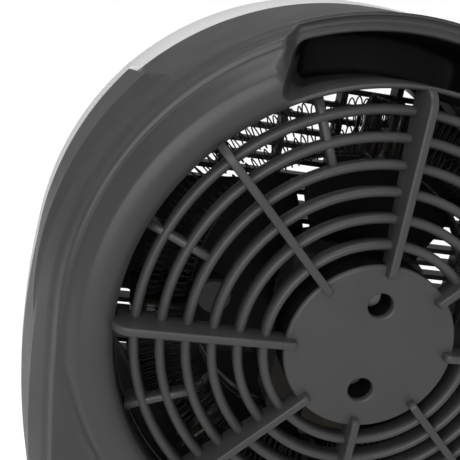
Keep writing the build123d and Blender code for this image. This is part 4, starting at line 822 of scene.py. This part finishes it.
def pocket_outline(w):
    """Outline of the pocket at this height, from the floor's middle."""
    half = pocket_half_width + pocket_draft * w
    floor = pocket_floor_radius + (pocket_floor_step if w < pocket_step_w else 0.0)
    foot_u = half - pocket_foot_round
    foot_v = math.sqrt((floor + pocket_foot_round) ** 2 - foot_u**2)
    foot_turn = math.atan2(foot_v, foot_u)
    roof_u = half - pocket_roof_round
    roof_v = math.sqrt((pocket_roof_radius - pocket_roof_round) ** 2 - roof_u**2)
    roof_turn = math.atan2(roof_v, roof_u)
    side_v = np.linspace(foot_v, roof_v, 16, endpoint=False)
    right = np.concatenate(
        [
            arc_points(0, 0, floor, math.pi / 2, foot_turn, 30),
            arc_points(foot_u, foot_v, pocket_foot_round, foot_turn - math.pi, 0, 10),
            np.stack([np.full(16, half), side_v], axis=-1),
            arc_points(roof_u, roof_v, pocket_roof_round, 0, roof_turn, 12),
            arc_points(0, 0, pocket_roof_radius, roof_turn, math.pi / 2, 30),
            [(0.0, pocket_roof_radius)],
        ]
    )
    left = right[-2:0:-1] * (-1, 1)
    return np.concatenate([right, left])


class Hole:
    """A hole with a rounded mouth in the rear surface, whose outline may change with height."""

    def __init__(self, outline, mouth_round):
        self.table = np.stack([outline(w) for w in hole_levels])
        self.mouth_round = mouth_round
        self.count = self.table.shape[1]
        height = np.zeros(self.count)
        for _ in range(8):
            edge = self.at(np.arange(self.count), height)
            height = rear_height(edge[:, 0], edge[:, 1])
        self.mouth = edge + outward(edge) * mouth_round

    def at(self, place, w):
        """Points of the outline at these places along it and at these heights."""
        level = (w - hole_levels[0]) / (hole_levels[1] - hole_levels[0])
        level = np.clip(level, 0, len(hole_levels) - 1.001)
        low = level.astype(int)
        share = (level - low)[:, None]
        first = np.floor(place).astype(int)
        rest = (place - first)[:, None]
        first = first % self.count
        second = (first + 1) % self.count

        def row(k):
            return self.table[k, first] * (1 - rest) + self.table[k, second] * rest

        return row(low) * (1 - share) + row(low + 1) * share

    def mouth_points(self, place):
        """Points of the mouth at these places along it."""
        first = np.floor(place).astype(int) % self.count
        share = (place - np.floor(place))[:, None]
        return self.mouth[first] * (1 - share) + self.mouth[(first + 1) % self.count] * share

    def nearest(self, points):
        """Places along the mouth that are nearest to these points, kept in order round it."""
        run = np.roll(self.mouth, -1, axis=0) - self.mouth
        offset = points[:, None] - self.mouth
        share = np.clip((offset * run).sum(axis=-1) / (run**2).sum(axis=-1), 0, 1)
        gap = np.linalg.norm(offset - run * share[..., None], axis=-1)
        best = gap.argmin(axis=1)
        place = best + share[np.arange(len(points)), best]
        turned = np.unwrap(place * FULL_TURN / self.count) * self.count / FULL_TURN
        way = 1 if turned[-1] > turned[0] else -1
        return way * np.sort(way * turned) % self.count

    def lining(self, place, mouth, top, levels, end_round):
        """Rows of (points, heights) from the rounded mouth to the eased edge of the end."""
        sideways = unit(mouth - self.at(place, top))
        rows = []
        for turn in mouth_turns:
            points = self.at(place, top) + sideways * self.mouth_round * (1 - math.sin(turn))
            rows.append((points, top - self.mouth_round * (1 - math.cos(turn))))
        for level in levels:
            w = np.minimum(top - self.mouth_round - 0.05, level)
            rows.append((self.at(place, w), w))
        for turn in end_turns:
            w = np.full(len(place), levels[-1] - end_round * math.sin(turn))
            rows.append((self.at(place, w) - sideways * end_round * (1 - math.cos(turn)), w))
        return rows


def opened(faces, gone):
    """The faces that stay when some are taken out, and the loop of points round the gap."""
    rim = {}
    kept = []
    for index, face in enumerate(faces):
        if index not in gone:
            kept.append(face)
            continue
        for a, b in zip(face, face[1:] + face[:1]):
            if (b, a) in rim:
                del rim[(b, a)]
            else:
                rim[(a, b)] = True
    follow = dict(rim.keys())
    loop = [next(iter(follow))]
    while follow[loop[-1]] != loop[0]:
        loop.append(follow[loop[-1]])
    return kept, loop


def cut_hole(flat, heights, faces, hole, levels, end_round, closed):
    """Take a hole out of the rear surface and line it down to the last of its levels."""
    centres = flat[np.array(faces)].mean(axis=1)
    near = heights[np.array(faces)].max(axis=1) > rear_face_limit
    near &= (centres > hole.mouth.min(axis=0) - 3).all(axis=1)
    near &= (centres < hole.mouth.max(axis=0) + 3).all(axis=1)
    near = np.nonzero(near)[0]
    kept, loop = opened(faces, set(near[inside(centres[near], hole.mouth)].tolist()))
    place = hole.nearest(flat[loop])
    flat[loop] = hole.mouth_points(place)
    heights[loop] = rear_height(*flat[loop].T)
    rows = hole.lining(place, flat[loop], heights[loop], levels, end_round)
    before = loop
    for index in range(len(rows)):
        start = len(flat) + index * len(loop)
        after = list(range(start, start + len(loop)))
        sides = zip(before, before[1:] + before[:1], after[1:] + after[:1], after)
        kept += list(sides)
        before = after
    if closed:
        kept.append(tuple(before))
    flat = np.concatenate([flat] + [points for points, w in rows])
    heights = np.concatenate([heights] + [w for points, w in rows])
    return flat, heights, kept


# Runs of angles on one half, in degrees: closer together at the holes and where the bands start
column_runs = (
    (-90, -74, 1.0), (-74, -66, 0.5), (-66, -51, 1.0), (-51, -44, 0.5),
    (-44, 36, 1.0), (36, 46, 0.2), (46, 58, 1.0), (58, 90, 0.45),
)


def rear_surface():
    """Points, heights and faces of the rear shell's outside, before the holes."""
    half = np.concatenate([np.arange(*run) for run in column_runs])
    angles = np.radians(np.concatenate([half, [90.0], 180 - half[:0:-1]]))
    radii, heights = np.moveaxis(rear_profile(angles), -1, 0)
    flat = np.stack(polar(radii, angles), axis=-1)
    cut = scooped(flat[..., 0], flat[..., 1], heights)
    heights = np.where(heights > rear_face_limit, cut, heights)
    faces = sheet_faces(*radii.shape, closed_columns=True)
    return flat.reshape(-1, 2), heights.reshape(-1), faces


def in_pocket_shade(place):
    """True where shade is painted in the handle pocket: its roof and sides, and its floor further in."""
    u = -place.x / MM
    v = (place.z - hub_height) / MM
    w = (place.y - ring_plane_y) / MM
    radius = math.hypot(u, v)
    near = abs(u) < pocket_shade_u and v > pocket_shade_v and radius < pocket_roof_radius + 0.3
    return near and (w < pocket_shade_back_w or (w < pocket_shade_w and radius > pocket_shade_radius))


def trim_at_base(data):
    """Cut a mesh off at the base, and split its many-sided faces."""
    mesh = bmesh.new()
    mesh.from_mesh(data)
    cut = {"plane_co": (0, 0, (base_top + 0.02) * MM), "plane_no": (0, 0, 1)}
    everything = mesh.verts[:] + mesh.edges[:] + mesh.faces[:]
    bmesh.ops.bisect_plane(mesh, geom=everything, clear_inner=True, **cut)
    big = [face for face in mesh.faces if len(face.verts) > 4]
    bmesh.ops.triangulate(mesh, faces=big)
    mesh.to_mesh(data)
    mesh.free()


def screw_well_outline(side):
    """The same round outline of a shell screw's well at every height."""
    u, v = shell_screw_place
    return lambda w: arc_points(side * u, v, shell_screw_well, 0, FULL_TURN, 60)


def rear_housing():
    """The rear shell: wall, bands, stepped rim, dome, scoop, handle pocket and screw wells."""
    surface = rear_surface()
    for side in (-1, 1):
        well = Hole(screw_well_outline(side), shell_screw_mouth_round)
        surface = cut_hole(*surface, well, shell_screw_levels, shell_screw_end_round, closed=False)
    pocket = Hole(pocket_outline, pocket_mouth_round)
    surface = cut_hole(*surface, pocket, pocket_liner_levels, pocket_end_round, closed=True)
    flat, heights, faces = surface
    places = spot(*flat.T, heights)
    piece = add_piece("rear_housing", places, faces, "dark_plastic", replaced=["rear_shell"])
    trim_at_base(piece.data)
    # Painted shade: the pocket's roof, sides and deeper floor get the near-black fan finish
    finish_where(piece, "fan_plastic", in_pocket_shade)
    thicken(piece, shell_thickness, offset=-1)


# Inlet grille
ring_radii = [33.9 + 7.9 * k for k in range(6)]
ring_half_width = 1.55
ring_height = 5.4
ring_crown = 1.9
ring_foot_share = 0.7
ring_eased_share = 0.88
inner_ring_w = 1.9
ring_dome_slope = 0.13
inlet_wall_radius = 79.3
hook_half_gap = math.radians(36.0)
fin_count = 8
fin_step = FULL_TURN / fin_count
fin_half_thickness = 1.3
fin_tip = 24.4
fin_reach = 80.6
fin_crest_inner = 5.1
fin_crest_outer = 4.9
fin_inner_round = 1.6
fin_outer_round = 6.5
fin_edge_round = 0.5
rib_edge_round = 0.9
hub_w = 2.0
hub_radius = 27.9
hub_cup_radius = 26.4
hub_cup_floor_w = -1.2
hub_back_w = -12.0
hub_round = 1.1
hub_well_v = 14.6
hub_well_radius = 4.0
hub_well_round = 0.9
hub_well_hollow_radius = 5.3
hub_well_floor_w = -11.8


def ring_top(radius):
    """Height of the rings' crowns: the grille is slightly domed towards the hub."""
    return inner_ring_w - (radius - ring_radii[0]) * ring_dome_slope


def swept_ring(section, columns, angle_low=0.0, angle_high=FULL_TURN):
    """Points and faces of a closed section, as (radius, w), swept round the fan axis."""
    whole = angle_high - angle_low > 6.28
    turn = np.linspace(angle_low, angle_high, columns, endpoint=not whole)
    section = np.asarray(section, float)
    u, v = polar(section[:, :1], turn)
    w = np.broadcast_to(section[:, 1:], u.shape)
    faces = sheet_faces(len(section), columns, closed_rows=True, closed_columns=whole)
    if not whole:
        first = [k * columns for k in range(len(section))]
        faces.append(tuple(first))
        faces.append(tuple(k + columns - 1 for k in reversed(first)))
    return spot(u, v, w).reshape(-1, 3), faces


def inlet_ring(radius):
    """A ring bar with a rounded crown, a slight draft and eased lower edges."""
    high = ring_top(radius)
    low = high - ring_height
    foot = ring_half_width * ring_foot_share
    eased = ring_half_width * ring_eased_share
    section = [(radius - foot, low), (radius + foot, low), (radius + eased, low + 0.5)]
    for turn in np.linspace(0, math.pi, 15):
        w = high - ring_crown + ring_crown * math.sin(turn)
        section.append((radius + ring_half_width * math.cos(turn), w))
    section.append((radius - eased, low + 0.5))
    return swept_ring(section, 300)


def inlet_rings():
    """The six rings, and the hooked band that holds the grille in the inlet's wall."""
    rings = [inlet_ring(radius) for radius in ring_radii]
    near = inlet_wall_radius
    hook = [(near, -10.1), (84.6, -10.1), (84.6, -12.4), (near, -12.4)]
    top = math.pi / 2
    rings.append(swept_ring(hook, 200, top + hook_half_gap, 5 * top - hook_half_gap))
    add_piece("inlet_rings", *joined(rings), "dark_plastic", replaced=["rear_grille"])


def plate(outline, angle, edge_round):
    """A plate through the fan axis: an outline of (radius, w) with rounded edges all round."""
    outline = np.asarray(outline, float)
    normal = outward(outline)
    layers = []
    for turn in np.radians((-90, -60, -30, 0)):
        side = -fin_half_thickness + edge_round * (1 + math.sin(turn))
        layers.append((side, edge_round * (1 - math.cos(turn))))
    layers += [(-side, inset) for side, inset in reversed(layers)]
    places = []
    for side, inset in layers:
        radius, w = (outline - normal * inset).T
        u = radius * math.cos(angle) - side * math.sin(angle)
        v = radius * math.sin(angle) + side * math.cos(angle)
        places.append(spot(u, v, w))
    return np.concatenate(places), capped_tube_faces(len(layers), len(outline))


def hook_leg(inner_w):
    """Outline of the hook under a fin or rib, which goes through the inlet's wall."""
    wall, outer, inner = inlet_wall_radius, 81.9, 75.3
    return [(wall, -10.0), (outer, -10.0), (outer, -12.5), (inner, -12.5), (inner, inner_w)]


def fin_outline(hooked):
    """Outline of a fin, from its tip over the hub to the inlet's wall."""
    inner = fin_tip + fin_inner_round
    outer = fin_reach - fin_outer_round
    quarter = math.pi / 2
    inner_w = fin_crest_inner - fin_inner_round
    outer_w = fin_crest_outer - fin_outer_round
    points = [(fin_tip, -2.0)]
    points += [*arc_points(inner, inner_w, fin_inner_round, math.pi, quarter, 7, ends=True)]
    for share in np.linspace(0.1, 0.9, 9):
        crest = fin_crest_inner + (fin_crest_outer - fin_crest_inner) * share
        points.append((inner + (outer - inner) * share, crest))
    points += [*arc_points(outer, outer_w, fin_outer_round, quarter, 0, 10, ends=True)]
    points += [(inlet_wall_radius, -3.4), (inlet_wall_radius, -7.6)]
    if hooked:
        points += hook_leg(-8.6)
    points += [(60.0, -6.4), (40.0, -3.8), (26.0, -2.2)]
    return points[::-1]


def rib_outline(hooked):
    """Outline of a short rib between the outer rings and the inlet's wall."""
    points = [(57.6, -6.0), (57.6, -1.9), (65.0, -2.9), (73.0, -3.9)]
    points += [(inlet_wall_radius, -4.3), (inlet_wall_radius, -8.0)]
    if hooked:
        points += hook_leg(-8.4)
    points += [(65.0, -7.2)]
    return points[::-1]


def inlet_fins():
    """Eight fins, hooked into the wall except the top one, which stands under the pocket."""
    fins = [plate(fin_outline(k != 2), k * fin_step, fin_edge_round) for k in range(fin_count)]
    add_piece("inlet_fins", *joined(fins), "dark_plastic")


def inlet_ribs():
    """Eight short ribs between the fins, without hooks under the pocket."""
    ribs = []
    for index in range(fin_count):
        angle = index * fin_step + fin_step / 2
        hooked = abs(angle - math.pi / 2) > hook_half_gap
        ribs.append(plate(rib_outline(hooked), angle, rib_edge_round))
    add_piece("inlet_ribs", *joined(ribs), "dark_plastic")


def skirt(mesh, rows, centre_v, steps):
    """Walls through circles; gives the first one's edges and the last one's points."""
    def circle(radius, w):
        u, v = arc_points(0, centre_v, radius, 0, FULL_TURN, steps).T
        return spot(u, v, np.full(steps, w))

    before, edges = loose_loop(circle(*rows[0]), mesh)
    for radius, w in rows[1:]:
        after = [mesh.verts.new(place) for place in circle(radius, w)]
        for corners in zip(before, before[1:] + before[:1], after[1:] + after[:1], after):
            mesh.faces.new(corners)
        before = after
    return edges, before


def eased_edge(radius, edge_round, outwards):
    """Circles of (radius, w) over the rounded edge between the hub's face and a wall."""
    rows = []
    for turn in np.radians((0, 22, 45, 68, 90)):
        inset = edge_round * (1 - math.sin(turn))
        rows.append((radius + outwards * inset, hub_w - edge_round * (1 - math.cos(turn))))
    return rows


def inlet_hub():
    """The hub's disc with its rounded rim and its cup, and two screw wells; below its face it is painted
    near-black as shade.
    """
    mesh = bmesh.new()
    rim = eased_edge(hub_radius, hub_round, -1)
    rim += [(hub_radius, -5.0), (hub_radius, hub_back_w)]
    rim += [(hub_cup_radius, hub_back_w), (hub_cup_radius, hub_cup_floor_w)]
    face_edges = skirt(mesh, rim, 0.0, 160)[0]
    for side in (-1, 1):
        well = eased_edge(hub_well_radius, hub_well_round, 1)
        well += [(hub_well_radius, hub_w - 2.0), (hub_well_hollow_radius, hub_w - 2.1)]
        well += [(hub_well_hollow_radius, hub_well_floor_w)]
        edges, floor = skirt(mesh, well, side * hub_well_v, 64)
        mesh.faces.new(floor)
        face_edges += edges
    bmesh.ops.triangle_fill(mesh, edges=face_edges, use_beauty=True)
    bmesh.ops.recalc_face_normals(mesh, faces=mesh.faces)
    piece = add_piece("inlet_hub", *taken_out(mesh), "dark_plastic")
    piece.data.set_sharp_from_angle(angle=math.radians(35))
    # Painted shade: faces more than 1.9 mm below the hub's face, down its side and inside the wells, get the
    # near-black fan finish
    shade_below = ring_plane_y + (hub_w - 1.9) * MM
    finish_where(piece, "fan_plastic", lambda place: place.y < shade_below)


# Heater
element_depth = 28.0
element_coils = (("heating_coil_inner", 60.2, 3), ("heating_coil_outer", 69.7, 8))
element_loop_pitch = 2.4
element_loop_reach = 4.5
element_loop_depth = 2.2
element_loop_steps = 18
element_wire_radius = 0.25
element_sag = 0.25
element_drift = 0.3
element_uneven_turn = 0.004
element_uneven_size = 0.07
element_wander_knots = 90
element_squeeze = 0.25
element_squeeze_reach = 2.2
terminal_half_gap = 3.6
terminal_lead = np.array([0.9, 2.2])
mica_plate_count = 8
mica_hole_radius = 4.05
mica_thickness = 0.9


def tube_along(points, radius, sides):
    """Points and faces of a round tube along a line of places, with closed ends."""
    points = np.asarray(points)
    along = unit(np.gradient(points, axis=0))
    side = np.cross(along[0], (0.0, 0.0, 1.0))
    frames = []
    for direction in along:
        side = side - direction * np.dot(side, direction)
        side /= np.linalg.norm(side)
        frames.append((side, np.cross(direction, side)))
    across, upward = np.array(frames).transpose(1, 0, 2)[:, :, None]
    turn = np.linspace(0, FULL_TURN, sides, endpoint=False)[:, None]
    places = points[:, None] + (across * np.cos(turn) + upward * np.sin(turn)) * radius
    return places.reshape(-1, 3), capped_tube_faces(len(points), sides)


def wandering(rng, share, knots, spread):
    """A value that wanders about nought along the coil."""
    return np.interp(share, np.linspace(0, 1, knots), rng.normal(0, spread, knots))


def coil_line(ring_radius, seed):
    """Places along a coil: loops round a ring, each a little different, and leads."""
    rng = np.random.default_rng(seed)
    gap = math.asin(terminal_half_gap / ring_radius)
    loops = int((FULL_TURN - 2 * gap) * ring_radius / element_loop_pitch)
    share = np.linspace(0, 1, loops * element_loop_steps + 1)
    turn = -math.pi / 2 + gap + (FULL_TURN - 2 * gap) * share
    phase = FULL_TURN * loops * share
    sag = wandering(rng, share, element_wander_knots, element_sag)
    drift = wandering(rng, share, element_wander_knots, element_drift)
    shift = wandering(rng, share, loops, element_uneven_turn)
    size = 1 + wandering(rng, share, loops, element_uneven_size)
    step = FULL_TURN / mica_plate_count
    to_plate = np.abs((turn + math.pi / 2 + step / 2) % step - step / 2) * ring_radius
    squeeze = 1 - element_squeeze * np.exp(-((to_plate / element_squeeze_reach) ** 2))
    radius = ring_radius + (sag - element_loop_reach * size * np.cos(phase)) * squeeze
    w = -element_depth + (drift + element_loop_depth * size * np.sin(phase)) * squeeze
    coil = spot(*polar(radius, turn + shift), w)
    ends = np.full(2, -ring_radius), np.full(2, -element_depth)
    return np.concatenate([spot(terminal_lead, *ends), coil, spot(-terminal_lead[::-1], *ends)])


def heating_coils():
    """The two bare heating wires."""
    for name, ring_radius, seed in element_coils:
        tube = tube_along(coil_line(ring_radius, seed), element_wire_radius * MM, 6)
        add_piece(name + "_wire", *tube, "element_wire", replaced=[name])


def mica_plate(angle):
    """A mica plate with a hole for each coil and notched corners."""
    inner, outer = 53.2, 75.3
    near, far = -15.4, -47.6
    notch, near_cut, far_cut = 2.2, 1.5, 4.0
    outline = [
        (inner, near - notch),
        (inner + notch, near - notch),
        (inner + notch, near),
        (outer - near_cut, near),
        (outer, near - near_cut),
        (outer, far + far_cut),
        (outer - far_cut, far),
        (inner, far),
    ]
    loops = [np.array(outline)]
    for _, ring_radius, _ in element_coils:
        loops.append(arc_points(ring_radius, -element_depth, mica_hole_radius, 0, FULL_TURN, 28))
    mesh = bmesh.new()
    edges = []
    for radius, w in (loop.T for loop in loops):
        edges += loose_loop(spot(*polar(radius, angle), w), mesh)[1]
    bmesh.ops.triangle_fill(mesh, edges=edges, use_beauty=True)
    return taken_out(mesh)


def heater_support():
    """The coils' support: mica plates round a band, each with its two holes."""
    step = FULL_TURN / mica_plate_count
    plates = [mica_plate(index * step - math.pi / 2) for index in range(mica_plate_count)]
    piece = add_piece("mica_plates", *joined(plates), "mica", replaced=["heater_frame"])
    thicken(piece, mica_thickness)
    ring = [(53.1, -40.0), (53.9, -40.0), (53.9, -47.9), (53.1, -47.9)]
    add_piece("mica_band", *swept_ring(ring, 120), "mica")


# Sheet at the duct's floor
deflector_near = 79.0
deflector_length = 37.0
deflector_half_width = 71.0
deflector_rise = 34.0
deflector_curve = 1.6
deflector_thickness = 0.8
duct_floor_line = (84.6, 58.0, 0.2)


def warm_air_deflector():
    """The sheet that turns the warm air up from the duct's floor."""
    rows, columns = 24, 60
    share = np.linspace(0, 1, rows)[:, None]
    depth = deflector_near + deflector_length * share
    start_radius, start_depth, flare = duct_floor_line
    radius = start_radius + (depth - start_depth) * flare
    u = np.linspace(-1, 1, columns)[None, :] * deflector_half_width * np.ones_like(share)
    floor = -np.sqrt(radius**2 - u**2)
    v = np.maximum(floor, -radius + deflector_rise * share**deflector_curve)
    places = spot(u, v, -depth * np.ones_like(u)).reshape(-1, 3)
    sheet = add_piece("warm_air_deflector", places, sheet_faces(rows, columns), "duct_steel")
    thicken(sheet, deflector_thickness)


# Fan. A blade's two edges are lines of degrees over radius, from the blade's middle.
fan_hub_radius = 17.0
fan_near = -56.6
fan_far = -75.6
fan_tip_radius = 80.5
fan_blade_count = 3
fan_blade_start = 51.0
fan_blade_front = (
    [15, 38, 43, 47, 57, 66, 71, 76, 79, 81],
    [-61, -60.5, -52, -38, -27, -21, -17, -14, -11, -6],
)
fan_blade_rear = (
    [15, 38, 43, 49, 59, 65, 71, 76, 79, 81],
    [61, 60.5, 53, 45, 37, 30, 22, 20, 18, 12],
)
fan_blade_half_span = 58.0
fan_blade_middle_w = -66.0
fan_blade_lean = 8.4
fan_blade_camber = 1.5
fan_blade_thickness = 1.5
fan_blade_root = 1.5
fan_blade_tip_gap = 0.2
fan_blade_margin = 0.9


def smoothed(line, radii):
    """Degrees of a blade's edge at these radii, averaged over a short run."""
    steps = np.linspace(-2.5, 2.5, 9)
    return np.mean([np.interp(radii + step, *line) for step in steps], axis=0)[:, None]


def fan_blade(index):
    """A broad petal-shaped blade, part of a screw surface between its two edges."""
    rows, columns = 34, 30
    root = fan_hub_radius - fan_blade_root
    tip = fan_tip_radius - fan_blade_tip_gap
    radii = root + (tip - root) * np.linspace(0, 1, rows) ** 0.8
    low = smoothed(fan_blade_front, radii)
    high = smoothed(fan_blade_rear, radii)
    degrees = low + (high - low) * np.linspace(0, 1, columns)
    across = degrees / fan_blade_half_span
    bulge = np.clip(1 - across**2, 0, 1) * np.interp(radii, [17, 60], [0, 1])[:, None]
    w = fan_blade_middle_w + fan_blade_lean * across + fan_blade_camber * bulge
    w = np.clip(w, fan_far + fan_blade_margin, fan_near - fan_blade_margin)
    middle = math.radians(fan_blade_start + 360 / fan_blade_count * index)
    places = spot(*polar(radii[:, None], middle + np.radians(degrees)), w)
    return places.reshape(-1, 3), sheet_faces(rows, columns)


def fan_blades():
    """The fan's blades, with their edges eased."""
    parts = [fan_blade(index) for index in range(fan_blade_count)]
    blades = add_piece("fan_blades", *joined(parts), "fan_plastic", body="fan")
    thicken(blades, fan_blade_thickness)
    soft = blades.modifiers.new("edges", "BEVEL")
    soft.width = 0.5 * MM
    soft.segments = 2
    soft.limit_method = "ANGLE"


def fan_hub():
    """The fan's hub, with rounded ends and a hollow on its far side."""
    near, far = fan_near, fan_far
    section = [(3.1, near - 0.4), (14.4, near - 0.4), (15.6, near - 0.1), (16.6, near - 0.7)]
    section += [(fan_hub_radius, near - 1.8), (fan_hub_radius, far + 1.6), (16.5, far + 0.4)]
    section += [(15.2, far), (14.4, far + 0.6), (13.6, far + 4.0), (5.5, far + 4.0)]
    section += [(5.2, far + 0.3), (3.1, far + 0.3)]
    ring = swept_ring(section, 96)
    add_piece("fan_hub", *ring, "fan_plastic", replaced=["impeller"], body="fan")


rear_housing()
inlet_rings()
inlet_fins()
inlet_ribs()
inlet_hub()
heating_coils()
heater_support()
warm_air_deflector()
fan_blades()
fan_hub()
